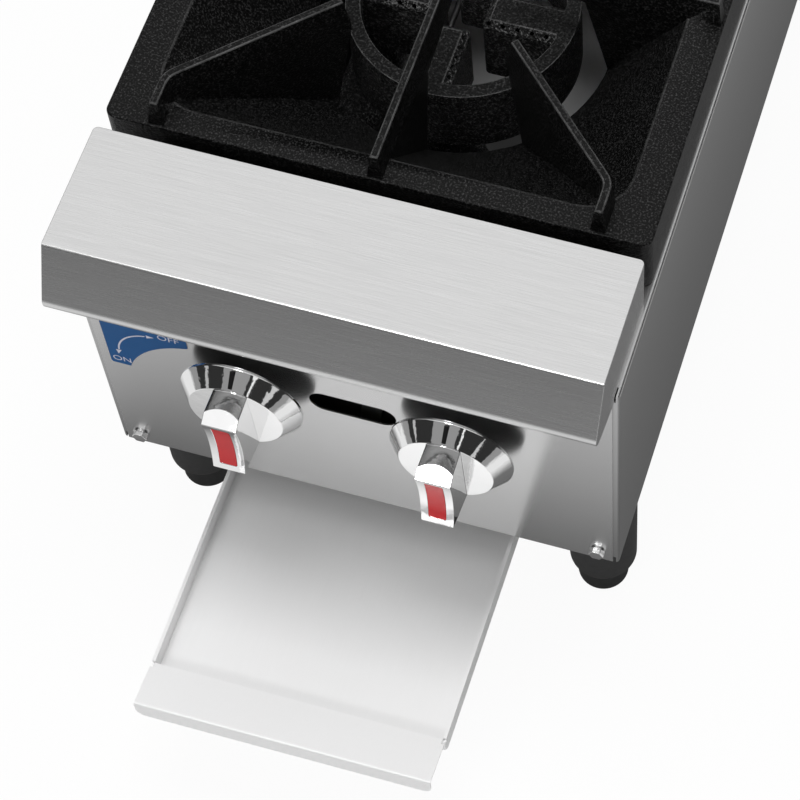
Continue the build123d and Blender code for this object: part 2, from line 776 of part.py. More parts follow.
def valve_stem():
    """Stem from inside the valve through the panel's hole into the knob's hub."""
    stem = d_rod(STEM_R, STEM_FLAT, (STEM_FRONT, KNOB_BACK))
    return stem + rod_y(STEM_R, 0, (KNOB_BACK, STEM_BACK), 0)


def gas_valve():
    """Brass tap on a neck that rises from the manifold."""
    shoulder = VALVE_FRONT + VALVE_GLAND_L
    body = turned_y(
        [
            (0, VALVE_FRONT),
            (VALVE_GLAND_R, VALVE_FRONT),
            (VALVE_GLAND_R, shoulder),
            (VALVE_R, shoulder),
            (VALVE_R, VALVE_BACK),
            (0, VALVE_BACK),
        ],
        0,
        0,
    )
    body += along_y(hexagon(VALVE_HEX_AF), (VALVE_BACK, VALVE_BACK + VALVE_HEX_L))
    body += rod_z(VALVE_NECK_R, 0, MANIFOLD_Y, (MANIFOLD_Z - KNOB_Z, 0))
    body -= rod_x(PIPE_R + FIT, (-SKIRT_R, SKIRT_R), MANIFOLD_Y, MANIFOLD_Z - KNOB_Z)
    return body - rod_y(STEM_R + STEM_CLEARANCE, 0, (VALVE_FRONT - CUT, STEM_BACK + CUT), 0)


def orifice_hood():
    """Brass jet on the valve's outlet, its nose inside the burner tube's mouth."""
    start = VALVE_BACK + VALVE_HEX_L
    nose = MOUTH_Y + MOUTH_PLATE
    hood = along_y(hexagon(HOOD_AF), (start, start + HOOD_HEX_L))
    hood += rod_y(HOOD_R, 0, (start + HOOD_HEX_L, nose), 0)
    return hood - rod_y(HOOD_BORE_R, 0, (start + HOOD_HEX_L, nose + CUT), 0)


def gas_manifold():
    x = (MANIFOLD_LEFT, SUPPLY_X - ELBOW_R - GAP)
    pipe = rod_x(PIPE_R, x, MANIFOLD_Y, MANIFOLD_Z)
    return pipe - rod_x(PIPE_BORE_R, (x[0] - CUT, x[1] + CUT), MANIFOLD_Y, MANIFOLD_Z)


def manifold_cap():
    end = MANIFOLD_LEFT - CAP_WALL
    cap = rod_x(CAP_R, (end, end + CAP_L), MANIFOLD_Y, MANIFOLD_Z)
    return cap - rod_x(PIPE_R + FIT, (MANIFOLD_LEFT - GAP, end + 2 * CAP_L), MANIFOLD_Y, MANIFOLD_Z)


def manifold_bracket():
    """Clip round the manifold, with a leg and a foot on the floor."""
    half = STRAP_W / 2
    floor = FLOOR_Z + SHEET
    ring = rod_x(PIPE_R + BRACKET_T, (-half, half), MANIFOLD_Y, MANIFOLD_Z)
    leg_y = (MANIFOLD_Y - BRACKET_T / 2, MANIFOLD_Y + BRACKET_T / 2)
    clip = ring + box((-half, half), leg_y, (floor, MANIFOLD_Z - PIPE_R))
    clip += box((-half, half), (leg_y[0], leg_y[0] + STRAP_FOOT), (floor, floor + BRACKET_T))
    return clip - rod_x(PIPE_R + FIT, (-STRAP_W, STRAP_W), MANIFOLD_Y, MANIFOLD_Z)


def supply_elbow():
    """Elbow from the manifold to the supply pipe, with a socket at each end."""
    x = SUPPLY_X - ELBOW_R - ELBOW_SOCKET
    y = MANIFOLD_Y + ELBOW_R + ELBOW_SOCKET
    z = MANIFOLD_Z
    route = [(x, MANIFOLD_Y, z), (SUPPLY_X, MANIFOLD_Y, z), (SUPPLY_X, y, z)]
    elbow = swept(route, ELBOW_R, PIPE_BORE_R + ELBOW_WALL)
    elbow += rod_x(PIPE_R + ELBOW_WALL, (x, x + ELBOW_SOCKET), MANIFOLD_Y, z)
    elbow += rod_y(PIPE_R + ELBOW_WALL, SUPPLY_X, (y - ELBOW_SOCKET, y), z)
    elbow -= swept(route, ELBOW_R, PIPE_BORE_R)
    elbow -= rod_x(PIPE_R + FIT, (x - CUT, x + ELBOW_SOCKET), MANIFOLD_Y, z)
    return elbow - rod_y(PIPE_R + FIT, SUPPLY_X, (y - ELBOW_SOCKET, y + CUT), z)


def supply_pipe():
    """Pipe along the right side to the gas inlet, whose thinner end stands out behind the body."""
    start = MANIFOLD_Y + ELBOW_R + GAP
    neck = INLET_END - INLET_L
    pipe = rod_y(PIPE_R, SUPPLY_X, (start, neck), MANIFOLD_Z)
    pipe += rod_y(INLET_R, SUPPLY_X, (neck, INLET_END), MANIFOLD_Z)
    return pipe - rod_y(PIPE_BORE_R, SUPPLY_X, (start - CUT, INLET_END + CUT), MANIFOLD_Z)


# Burners


def burner_plan(ring_wall=0.0, arm_wall=0.0):
    """Ring with four arms that point inwards, drawn smaller by the walls round its channel."""
    plan = Circle(RING_R - ring_wall) - Circle(RING_BORE_R + ring_wall)
    root = (RING_R + RING_BORE_R) / 2
    tip_r = max(ARM_TIP_R - arm_wall, SHEET)
    for turn, half_w, arm_tip, _ in ARMS:
        half = half_w - arm_wall
        tip = arm_tip + arm_wall
        corners = [(-half, -root), (half, -root), (half, -tip), (-half, -tip)]
        plan += Rot(0, 0, turn) * outline(corners, [0, 0, tip_r, tip_r])
    return plan


def port(origin, direction, depth):
    """Gas port drilled from a point outside the wall."""
    drill = Plane(origin=origin, z_dir=direction)
    return extrude(drill * RegularPolygon(PORT_R, PORT_SIDES), depth)


def arm_ports():
    """Ports in the chamfers on both sides of each arm."""
    ports = []
    z = HEAD_TOP - ARM_CHAMFER / 2
    for turn, half_w, _, pitch in ARMS:
        x = half_w - ARM_CHAMFER / 2
        for side in (-1, 1):
            for step in range(ARM_PORTS):
                start = (side * (x + CUT), step * pitch - ARM_PORT_END, z + CUT)
                ports.append(Rot(0, 0, turn) * port(start, (-side, 0, -1), 2 * HEAD_ROOF))
    return ports


def wall_ports():
    """Two rows of ports round the outer wall of the ring."""
    ports = []
    for drop in WALL_PORT_DROPS:
        for step in range(WALL_PORTS):
            turn = Rot(0, 0, WALL_PORT_START + step * 360 / WALL_PORTS)
            start = (0, -(RING_R + SHEET), HEAD_TOP - drop)
            ports.append(turn * port(start, (0, 1, 0), SHEET + RING_WALL + SHEET))
    return ports


def arm_bevels():
    """Wedges that bevel the top edges of each arm along its sides and across its tip."""
    low = HEAD_TOP - ARM_CHAMFER
    wedge = [(ARM_CHAMFER, low), (-CUT, HEAD_TOP + CUT), (ARM_CHAMFER, HEAD_TOP + CUT)]
    wedge = make_face(Polyline(*wedge, close=True))
    wedges = []
    for turn, half_w, arm_tip, _ in ARMS:
        root = -sqrt(RING_BORE_R**2 - half_w**2)
        side = along_y(Pos(half_w - ARM_CHAMFER, 0) * wedge, (root, -arm_tip))
        tip = along_x(Pos(-arm_tip - ARM_CHAMFER, 0) * wedge, (-half_w, half_w))
        wedges += [Rot(0, 0, turn) * cut for cut in (side, opposite(side), tip)]
    return wedges


def burner_head():
    """Upper casting: a hollow ring and arms, open below, with gas ports through its walls."""
    head = along_z(burner_plan(), (HEAD_BOTTOM, HEAD_TOP)) - arm_bevels()
    channel = burner_plan(RING_WALL, ARM_WALL)
    head -= along_z(channel, (HEAD_BOTTOM - CUT, HEAD_TOP - HEAD_ROOF))
    return head - arm_ports() - wall_ports()


def mouth():
    """Bell at the front of the mixing tube: its plate has air holes round a boss."""
    end = MOUTH_Y + MOUTH_L
    cone = end + MOUTH_R - TUBE_R
    bell = turned_y(
        [(0, MOUTH_Y), (MOUTH_R, MOUTH_Y), (MOUTH_R, end), (TUBE_R, cone), (0, cone)], 0, 0
    )
    inside = MOUTH_R - TUBE_R + TUBE_BORE_R
    start = MOUTH_Y + MOUTH_PLATE
    bell -= turned_y([(0, start), (inside, start), (inside, end), (TUBE_BORE_R, cone), (0, cone)], 0, 0)
    bell += rod_y(MOUTH_BOSS_R, 0, (MOUTH_Y - MOUTH_BOSS_L, start), 0)
    bell -= rod_y(HOOD_R + HOOD_FIT, 0, (MOUTH_Y - MOUTH_BOSS_L - CUT, start + CUT), 0)
    return bell - air_holes((MOUTH_Y - CUT, start + CUT))


def air_holes(y):
    holes = []
    for step in range(AIR_HOLES):
        angle = radians(45 + step * 360 / AIR_HOLES)
        holes.append(rod_y(AIR_HOLE_R, AIR_HOLE_ORBIT * cos(angle), y, AIR_HOLE_ORBIT * sin(angle)))
    return holes


def air_shutter():
    """Disc with matching holes that turns on the mouth's boss."""
    back = MOUTH_Y - SHUTTER_GAP
    y = (back - SHUTTER_T, back)
    disc = along_y(Circle(MOUTH_R) + Pos(0, MOUTH_R) * Rectangle(SHUTTER_TAB, SHUTTER_TAB), y)
    bore = (y[0] - CUT, y[1] + CUT)
    disc -= rod_y(MOUTH_BOSS_R + RUNNING_GAP, 0, bore, 0)
    return disc - air_holes(bore)


def burner_base(centre_y, valve_x):
    """Lower casting: the channel's floor, its neck and the mixing tube to the valve."""
    cup = along_z(burner_plan(), (BASE_BOTTOM, BASE_TOP))
    cup -= along_z(burner_plan(RING_WALL, ARM_WALL), (BASE_BOTTOM + BASE_FLOOR, BASE_TOP + CUT))
    cup = Pos(0, centre_y, 0) * cup
    neck_y = centre_y + NECK_Y
    route = [
        (valve_x, MOUTH_Y + MOUTH_L, KNOB_Z),
        (valve_x, neck_y - TUBE_RUN_IN, KNOB_Z),
        (0, neck_y, NECK_Z),
    ]
    neck_r = TUBE_R + NECK_WALL
    base = cup + swept(route, TUBE_BEND_R, TUBE_R)
    base += Pos(0, neck_y, NECK_Z) * Sphere(neck_r)
    base += rod_z(neck_r, 0, neck_y, (NECK_Z, BASE_BOTTOM + BASE_FLOOR))
    base += rod_z(FOOT_BOSS_R, 0, neck_y, (BRIDGE_TOP, NECK_Z))
    base -= swept(route, TUBE_BEND_R, TUBE_BORE_R)
    base -= rod_z(TUBE_BORE_R, 0, neck_y, (NECK_Z, BASE_BOTTOM - BASE_FLOOR))
    base -= rod_z(END_ARM_HALF_W - ARM_WALL, 0, neck_y, (NECK_Z, BASE_TOP + CUT))
    base -= rod_z(BURNER_SCREW_R + FIT, 0, neck_y, (BRIDGE_TOP - CUT, BRIDGE_TOP + BURNER_SCREW_L))
    return base + Pos(valve_x, 0, KNOB_Z) * mouth()


def burner_bracket(centre_y):
    """Channel across the body under the burner's foot, welded to both sides."""
    y = centre_y + NECK_Y
    rear = y + BRIDGE_REAR
    front = rear - BRIDGE_W
    low = BRIDGE_TOP - BRIDGE_H
    points = [(rear, low), (rear, BRIDGE_TOP), (front, BRIDGE_TOP), (front, low)]
    half = BODY_W / 2 - SHEET
    bridge = along_x(folded(points, BEND_R + BRIDGE_T, BRIDGE_T), (-half, half))
    return bridge - rod_z(BURNER_SCREW_R + HOLE_CLEARANCE, 0, y, (low, BRIDGE_TOP + CUT))


def burner_screw(centre_y):
    bolt = hex_bolt(
        BURNER_SCREW_R, BURNER_SCREW_AF, BURNER_SCREW_HEAD_H, BRIDGE_T + BURNER_SCREW_L - GAP
    )
    return Pos(0, centre_y + NECK_Y, BRIDGE_TOP - BRIDGE_T) * bolt


def pilot_valve(x):
    """Small brass valve that stands on the manifold, with its outlet to the rear."""
    top = MANIFOLD_Z + PIPE_R + PILOT_VALVE_H
    body = rod_z(PILOT_VALVE_R, x, MANIFOLD_Y, (MANIFOLD_Z, top))
    outlet = top - PILOT_OUTLET_DROP
    body += rod_y(
        PILOT_TUBE_R + SHEET, x, (MANIFOLD_Y, MANIFOLD_Y + PILOT_VALVE_R + PILOT_OUTLET_L), outlet
    )
    return body - rod_x(PIPE_R + FIT, (x - CAP_R, x + CAP_R), MANIFOLD_Y, MANIFOLD_Z)


def pilot_tube(valve_x, middle, tip_y):
    """Thin pipe from its valve to a tip that points at the foot of the burner's ring."""
    start_y = MANIFOLD_Y + PILOT_VALVE_R + PILOT_OUTLET_L
    start_z = MANIFOLD_Z + PIPE_R + PILOT_VALVE_H - PILOT_OUTLET_DROP
    route = [(valve_x, start_y, start_z), (valve_x, start_y + PILOT_RUN, start_z)]
    route += middle
    route += [(PILOT_TIP_X, tip_y - PILOT_RISE_Y, PILOT_Z), (PILOT_TIP_X, tip_y - PILOT_TIP_L, PILOT_Z)]
    return swept(route, PILOT_BEND_R, PILOT_TUBE_R)


def pilot_tip(tip_y):
    return rod_y(PILOT_TIP_R, PILOT_TIP_X, (tip_y - PILOT_TIP_L, tip_y), PILOT_Z)


# Grates


def rim_face(z):
    """Inside edge of the grate's flat rim."""
    half_x = GRATE_W / 2 - RIM_SIDE
    half_y = GRATE_W / 2 - RIM_END
    corners = [(-half_x, -half_y), (half_x, -half_y), (half_x, half_y), (-half_x, half_y)]
    return Plane.XY.offset(z) * outline(corners, [BOWL_CORNER_R] * 4)


def mouth_face(z):
    """Round mouth of the bowl, split where the creases between the bowl's facets meet it."""
    arcs = []
    for quarter in range(4):
        side = -90 + 90 * quarter
        arcs.append(CenterArc((0, 0), BOWL_MOUTH_R, side - BOWL_CREASE, 2 * BOWL_CREASE))
        arcs.append(CenterArc((0, 0), BOWL_MOUTH_R, side + BOWL_CREASE, 90 - 2 * BOWL_CREASE))
    return Plane.XY.offset(z) * make_face(arcs)


def bowl(drop):
    """Solid funnel from the rim's inside edge down to the mouth."""
    return loft([rim_face(GRATE_TOP - drop), mouth_face(GRATE_TOP - BOWL_DROP - drop)], ruled=True)


def finger_plans():
    """Tops of the eight fingers: one along each axis and a bent one from each corner."""
    foot = GRATE_W / 2 - FINGER_END_INSET
    corner_x = GRATE_W / 2 - CORNER_FINGER_INSET
    plans = []
    for quarter in range(4):
        bar = Pos(0, -(foot + FINGER_TIP) / 2) * Rectangle(FINGER_TOP_W, foot - FINGER_TIP)
        plans.append(Rot(0, 0, 90 * quarter) * bar)
    for side in (-1, 1):
        for end in (-1, 1):
            route = [
                (side * corner_x, end * foot),
                (side * corner_x, end * (foot - CORNER_FINGER_RUN)),
                (side * CORNER_FINGER_TIP_X, end * CORNER_FINGER_TIP_Y),
            ]
            plans.append(trace(FilletPolyline(*route, radius=CORNER_FINGER_R), FINGER_TOP_W))
    return plans


def grate():
    """Cast bowl: outer walls, flat rim, facets that fall to a round mouth, and eight fingers."""
    half = GRATE_W / 2
    shell = box((-half, half), (-half, half), (GRATE_BOTTOM, GRATE_TOP))
    shell = fillet(shell.edges().filter_by(Axis.Z), GRATE_CORNER_R)
    shell = fillet(shell.faces().sort_by(Axis.Z)[-1].edges(), GRATE_EDGE_R)
    inside = half - GRATE_WALL
    plate = GRATE_TOP - GRATE_PLATE
    shell -= box((-inside, inside), (-inside, inside), (GRATE_BOTTOM - CUT, plate))
    shell += bowl(GRATE_PLATE)
    throat = rod_z(BOWL_MOUTH_R, 0, 0, (GRATE_TOP - BOWL_DROP - 2 * GRATE_PLATE, GRATE_TOP))
    shell -= bowl(0) + throat

    knee = FINGER_TOP - FINGER_KNEE_H
    web_bottom = GRATE_TOP - BOWL_DROP - GRATE_PLATE
    reach = [
        (0, FINGER_TOP),
        (0, FINGER_TOP - FINGER_TIP_H),
        (FINGER_TIP, FINGER_TOP - FINGER_TIP_H),
        (FINGER_KNEE, knee),
        (BOWL_MOUTH_R, web_bottom + GRATE_PLATE / 2),
        (BOWL_MOUTH_R, web_bottom - CUT),
        (GRATE_W, web_bottom - CUT),
        (GRATE_W, FINGER_TOP),
    ]
    room = bowl(GRATE_PLATE) + throat
    room += extrude(rim_face(plate), GRATE_PLATE)
    room &= turned_z(reach, 0, 0)
    for plan in finger_plans():
        top = extrude(Plane.XY.offset(FINGER_TOP) * plan, -FINGER_RISE, taper=-FINGER_DRAFT)
        root = top.faces().sort_by(Axis.Z)[0]
        web = extrude(root, FINGER_RISE + BOWL_DROP, dir=(0, 0, -1))
        shell += top + (web & room)
    return shell


# Every piece in its place


def place_pairs(pieces):
    """Pieces of the right side and their mirror images."""
    for name, solid in (("side_panel", side_panel()), ("tray_runner", tray_runner())):
        pieces["right_" + name] = solid
        pieces["left_" + name] = opposite(solid)
    for side, x in (("left", -KNOB_X), ("right", KNOB_X)):
        for name, make in KNOB_PIECES.items():
            pieces[side + "_" + name] = Pos(x, 0, KNOB_Z) * make()
    for side, x in (("left", -LEG_X), ("right", LEG_X)):
        for end, y in LEG_YS.items():
            pieces[end + "_" + side + "_leg"] = Pos(x, y, 0) * leg()
            pieces[end + "_" + side + "_foot"] = Pos(x, y, 0) * foot()


def place_burners(pieces):
    """Each burner with its jet, shutter, bracket, grate and pilot."""
    cast_head = burner_head()
    cast_grate = grate()
    for end, y in BURNER_YS.items():
        valve_x = KNOB_X if end == "front" else -KNOB_X
        tip_y = y - RING_R - PILOT_TIP_GAP
        middle = []
        if end == "rear":
            low_end = (PILOT_SIDE_X, tip_y - 2 * PILOT_RISE_Y, PILOT_LOW_Z)
            middle = [(PILOT_SIDE_X, MANIFOLD_Y + 4 * PILOT_RUN, PILOT_LOW_Z), low_end]
        pilot_x = PILOT_X if end == "front" else -PILOT_X
        pieces[end + "_orifice"] = Pos(valve_x, 0, KNOB_Z) * orifice_hood()
        pieces[end + "_air_shutter"] = Pos(valve_x, 0, KNOB_Z) * air_shutter()
        pieces[end + "_burner_base"] = burner_base(y, valve_x)
        pieces[end + "_burner_head"] = Pos(0, y, 0) * cast_head
        pieces[end + "_burner_bracket"] = burner_bracket(y)
        pieces[end + "_grate"] = Pos(0, y, 0) * cast_grate
        pieces[end + "_pilot_tube"] = pilot_tube(pilot_x, middle, tip_y)
        pieces[end + "_pilot_burner"] = pilot_tip(tip_y)


def place_fasteners(pieces):
    """Each kind of fastener is one group of separate solids."""
    studs = [Pos(x, y, 0) * leg_stud() for x in (-LEG_X, LEG_X) for y in LEG_YS.values()]
    to_front = Rot(90, 0, 0)
    rear_places = [(x, z) for x in (-BOLT_X, BOLT_X) for z in (BOLT_Z, REAR_SCREW_TOP)]
    runner_places = [(side * RUNNER_SCREW_X, y) for side in (-1, 1) for y in RUNNER_SCREW_YS]
    groups = {
        "leg_studs": studs,
        "panel_bolts": [Pos(x, -WASHER_T, BOLT_Z) * panel_bolt() for x in (-BOLT_X, BOLT_X)],
        "panel_washers": [Pos(x, 0, BOLT_Z) * panel_washer() for x in (-BOLT_X, BOLT_X)],
        "panel_nuts": [Pos(x, 0, BOLT_Z) * panel_nut() for x in (-BOLT_X, BOLT_X)],
        "ledge_screws": [Pos(x, SHEET, LEDGE_SCREW_Z) * to_front * screw() for x in LEDGE_SCREW_XS],
        "rear_panel_screws": [Pos(x, BODY_D, z) * to_front * screw() for x, z in rear_places],
        "runner_screws": [Pos(x, y, BODY_BOTTOM) * screw() for x, y in runner_places],
        "burner_screws": [burner_screw(y) for y in BURNER_YS.values()],
        "pilot_valves": [pilot_valve(x) for x in (-PILOT_X, PILOT_X)],
    }
    for name, solids in groups.items():
        pieces[name] = Compound(children=[solid.solid() for solid in solids])


KNOB_PIECES = {
    "knob": knob,
    "knob_inlay": knob_inlay,
    "valve": gas_valve,
    "valve_stem": valve_stem,
}

pieces = {
    "front_panel": front_panel(),
    "front_ledge": front_ledge(),
    "rear_panel": rear_panel(),
    "bottom_panel": bottom_panel(),
    "drip_tray": drip_tray(),
    "gas_manifold": gas_manifold(),
    "manifold_cap": manifold_cap(),
    "manifold_bracket": manifold_bracket(),
    "supply_elbow": supply_elbow(),
    "supply_pipe": supply_pipe(),
}
place_pairs(pieces)
place_burners(pieces)
place_fasteners(pieces)

os.makedirs("parts", exist_ok=True)
for name, solid in pieces.items():
    export_step(Pos(0, -ORIGIN_Y, 0) * solid, f"parts/{name}.step")
print(len(pieces), "pieces; the front panel's face is at y =", -ORIGIN_Y)
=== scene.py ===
import json
from math import atan2, cos, pi, radians, sin, tan

import bmesh
import bpy
from mathutils import Matrix, Vector


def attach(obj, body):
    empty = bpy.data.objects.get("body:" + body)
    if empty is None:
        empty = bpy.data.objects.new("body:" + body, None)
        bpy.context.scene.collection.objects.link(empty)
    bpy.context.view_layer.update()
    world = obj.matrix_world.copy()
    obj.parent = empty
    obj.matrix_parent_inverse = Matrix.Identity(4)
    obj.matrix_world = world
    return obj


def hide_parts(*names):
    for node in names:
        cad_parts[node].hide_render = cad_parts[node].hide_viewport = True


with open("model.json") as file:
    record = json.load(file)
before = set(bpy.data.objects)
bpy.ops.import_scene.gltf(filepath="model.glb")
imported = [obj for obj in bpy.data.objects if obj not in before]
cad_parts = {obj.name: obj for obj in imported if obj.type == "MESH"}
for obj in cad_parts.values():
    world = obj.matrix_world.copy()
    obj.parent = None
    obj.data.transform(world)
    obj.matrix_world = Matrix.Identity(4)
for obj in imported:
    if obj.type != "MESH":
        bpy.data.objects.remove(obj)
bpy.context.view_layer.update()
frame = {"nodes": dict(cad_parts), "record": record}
nodes = frame["nodes"]

# Sizes and places in millimetres, turned into metres with MM
MM = 0.001
BODY = "hotplate_body"
PANEL_Y = -278.25
KNOB_X = 60.6
KNOB_Z = 216.5
SKIRT_BACK = 22.0
HEAD_TOP = 307.8

# Grates: middle of each, flat rim, outer edge, bowl and the webs under the fingers
GRATE_Y = {"front": -59.65, "rear": 242.35}
GRATE_TOP = 344.5
GRATE_HALF = 150.0
GRATE_CORNER = 6.0
GRATE_PLATE = 6.0
GRATE_INSIDE = 143.0
RIM_HALF_X = 130.0
RIM_HALF_Y = 135.3
BOWL_DROP = 46.0
BOWL_MOUTH = 98.0
WEB_KNEE = 72.0
FINGER_SPREAD = radians(9)

# The outer edge's round before and after, and what the bowl's mouth moves down and inwards
GRATE_ROUND = 5.0
GRATE_CRISP = 1.4
BOWL_DEEPER = 16.0
BOWL_NARROWER = 13.0

# Patches of light on the studio's wall, seen from here: bearing, lowest and highest angle and
# width in degrees, then tone
PATCH_REACH = 2.5
PATCH_EYE = (-0.3, 0.25)
PATCHES = [
    (-13, 6, 42, 44, 0.30),
    (17, 22, 36, 3, 0.9),
    (41, 5, 15, 5, 0.6),
    (-57, 2, 12, 3, 0.5),
]


# Shader helpers


def link(tree, source, target):
    """Joins two sockets."""
    tree.links.new(source, target)


def shader_node(tree, kind, **values):
    """Node with its properties and unlinked inputs set."""
    made = tree.nodes.new(kind)
    for name, value in values.items():
        label = name.replace("_", " ")
        if label in made.inputs:
            made.inputs[label].default_value = value
        else:
            setattr(made, name, value)
    return made


def new_group(name, inputs, outputs):
    """Empty shader node group with named sockets."""
    group = bpy.data.node_groups.new(name, "ShaderNodeTree")
    for label, kind, value in inputs:
        made = group.interface.new_socket(label, in_out="INPUT", socket_type=kind)
        if value is not None:
            made.default_value = value
    for label, kind in outputs:
        group.interface.new_socket(label, in_out="OUTPUT", socket_type=kind)
    start = group.nodes.new("NodeGroupInput")
    end = group.nodes.new("NodeGroupOutput")
    return group, start, end


def scaled_object(tree, scale):
    """Object coordinates stretched by a scale on each axis."""
    coordinates = shader_node(tree, "ShaderNodeTexCoord")
    mapping = shader_node(tree, "ShaderNodeMapping", Scale=scale)
    link(tree, coordinates.outputs["Object"], mapping.inputs["Vector"])
    return mapping.outputs["Vector"]


def stepped(tree, value, low, high, top=1.0):
    """Mask that rises from 0 to the top as a value goes from low to high."""
    ramp = shader_node(tree, "ShaderNodeMapRange")
    ramp.inputs["From Min"].default_value = low
    ramp.inputs["From Max"].default_value = high
    ramp.inputs["To Max"].default_value = top
    link(tree, value, ramp.inputs["Value"])
    return ramp.outputs["Result"]


def product(tree, first, second):
    """Two values multiplied."""
    made = shader_node(tree, "ShaderNodeMath", operation="MULTIPLY")
    link(tree, first, made.inputs[0])
    link(tree, second, made.inputs[1])
    return made.outputs[0]


def blended(tree, mask, first, second):
    """Colour that goes from the first to the second with a mask."""
    mix = shader_node(tree, "ShaderNodeMix", data_type="RGBA")
    link(tree, mask, mix.inputs["Factor"])
    link(tree, first, mix.inputs[6])
    link(tree, second, mix.inputs[7])
    return mix.outputs[2]


FLOAT = "NodeSocketFloat"
COLOR = "NodeSocketColor"
VECTOR = "NodeSocketVector"


def grey(value):
    """Colour without hue."""
    return (value, value, value, 1)


def grain_group():
    """Fine lines of brushed sheet along one axis, with faint broad clouding."""
    group, start, end = new_group(
        "brushed grain",
        [
            ("Vector", VECTOR, None),
            ("Base", COLOR, grey(0.7)),
            ("Line strength", FLOAT, 0.05),
            ("Cloud strength", FLOAT, 0.04),
            ("Roughness", FLOAT, 0.3),
        ],
        [("Color", COLOR), ("Roughness", FLOAT), ("Height", FLOAT)],
    )
    lines = shader_node(group, "ShaderNodeTexNoise", Scale=1.0, Detail=3.0, Roughness=0.65)
    link(group, start.outputs["Vector"], lines.inputs["Vector"])
    clouds = shader_node(group, "ShaderNodeTexNoise", Scale=7.0, Detail=2.0, Roughness=0.5)
    place = shader_node(group, "ShaderNodeTexCoord")
    link(group, place.outputs["Object"], clouds.inputs["Vector"])
    line_shift = shader_node(group, "ShaderNodeMath", operation="MULTIPLY_ADD")
    link(group, lines.outputs["Fac"], line_shift.inputs[0])
    link(group, start.outputs["Line strength"], line_shift.inputs[1])
    line_shift.inputs[2].default_value = 1.0
    cloud_shift = shader_node(group, "ShaderNodeMath", operation="MULTIPLY_ADD")
    link(group, clouds.outputs["Fac"], cloud_shift.inputs[0])
    link(group, start.outputs["Cloud strength"], cloud_shift.inputs[1])
    link(group, line_shift.outputs[0], cloud_shift.inputs[2])
    half = shader_node(group, "ShaderNodeMath", operation="ADD")
    link(group, start.outputs["Line strength"], half.inputs[0])
    link(group, start.outputs["Cloud strength"], half.inputs[1])
    centre = shader_node(group, "ShaderNodeMath", operation="MULTIPLY_ADD")
    link(group, half.outputs[0], centre.inputs[0])
    centre.inputs[1].default_value = -0.5
    link(group, cloud_shift.outputs[0], centre.inputs[2])
    tint = shader_node(group, "ShaderNodeVectorMath", operation="SCALE")
    link(group, start.outputs["Base"], tint.inputs[0])
    link(group, centre.outputs[0], tint.inputs["Scale"])
    link(group, tint.outputs[0], end.inputs["Color"])
    rough = product(group, start.outputs["Roughness"], centre.outputs[0])
    link(group, rough, end.inputs["Roughness"])
    link(group, lines.outputs["Fac"], end.inputs["Height"])
    return group


def casting_group():
    """Sand-cast surface: pits and lumps, bright specks with extra painted glints on steep faces,
    and lighter edges that are partly rubbed wear and partly a painted highlight.
    """
    group, start, end = new_group(
        "sand casting",
        [
            ("Base", COLOR, grey(0.01)),
            ("Worn", COLOR, grey(0.12)),
            ("Edge", COLOR, grey(0.4)),
            ("Scale", FLOAT, 900.0),
            ("Specks", FLOAT, 0.5),
            ("Side specks", FLOAT, 0.0),
            ("Edge wear", FLOAT, 0.8),
            ("Roughness", FLOAT, 0.5),
        ],
        [("Color", COLOR), ("Roughness", FLOAT), ("Metallic", FLOAT), ("Height", FLOAT)],
    )
    place = shader_node(group, "ShaderNodeTexCoord")
    fine = shader_node(group, "ShaderNodeTexNoise", Detail=4.0, Roughness=0.6)
    link(group, place.outputs["Object"], fine.inputs["Vector"])
    link(group, start.outputs["Scale"], fine.inputs["Scale"])
    pits = shader_node(group, "ShaderNodeTexVoronoi", feature="SMOOTH_F1")
    link(group, place.outputs["Object"], pits.inputs["Vector"])
    link(group, start.outputs["Scale"], pits.inputs["Scale"])
    height = shader_node(group, "ShaderNodeMath", operation="ADD")
    link(group, fine.outputs["Fac"], height.inputs[0])
    link(group, pits.outputs["Distance"], height.inputs[1])
    link(group, height.outputs[0], end.inputs["Height"])
    # Steep faces get extra bright specks: partly a rougher raw casting, partly painted glints
    # where the front light catches the walls
    facing = shader_node(group, "ShaderNodeNewGeometry")
    axes = shader_node(group, "ShaderNodeSeparateXYZ")
    link(group, facing.outputs["True Normal"], axes.inputs[0])
    level = shader_node(group, "ShaderNodeMath", operation="ABSOLUTE")
    link(group, axes.outputs["Z"], level.inputs[0])
    upright = stepped(group, level.outputs[0], 0.9, 0.75)
    share = shader_node(group, "ShaderNodeMath", operation="MULTIPLY_ADD")
    link(group, upright, share.inputs[0])
    link(group, start.outputs["Side specks"], share.inputs[1])
    link(group, start.outputs["Specks"], share.inputs[2])
    specks = product(group, stepped(group, fine.outputs["Fac"], 0.52, 0.72), share.outputs[0])
    rubbed = shader_node(group, "ShaderNodeTexNoise", Scale=90.0, Detail=3.0)
    link(group, place.outputs["Object"], rubbed.inputs["Vector"])
    # Lighter, metallic bevel faces: partly rubbed wear, partly a painted highlight along the
    # edges
    edge = shader_node(group, "ShaderNodeAttribute", attribute_name="edge")
    edge_wear_and_highlight = product(group, edge.outputs["Fac"], stepped(group, rubbed.outputs["Fac"], 0.2, 0.62))
    edge_wear_and_highlight = product(group, edge_wear_and_highlight, start.outputs["Edge wear"])
    tone = blended(group, specks, start.outputs["Base"], start.outputs["Worn"])
    tone = blended(group, edge_wear_and_highlight, tone, start.outputs["Edge"])
    link(group, tone, end.inputs["Color"])
    shine = shader_node(group, "ShaderNodeMath", operation="MAXIMUM")
    link(group, edge_wear_and_highlight, shine.inputs[0])
    link(group, specks, shine.inputs[1])
    link(group, shine.outputs[0], end.inputs["Metallic"])
    rough = shader_node(group, "ShaderNodeMath", operation="MULTIPLY_ADD")
    link(group, fine.outputs["Fac"], rough.inputs[0])
    rough.inputs[1].default_value = 0.25
    link(group, start.outputs["Roughness"], rough.inputs[2])
    link(group, rough.outputs[0], end.inputs["Roughness"])
    return group


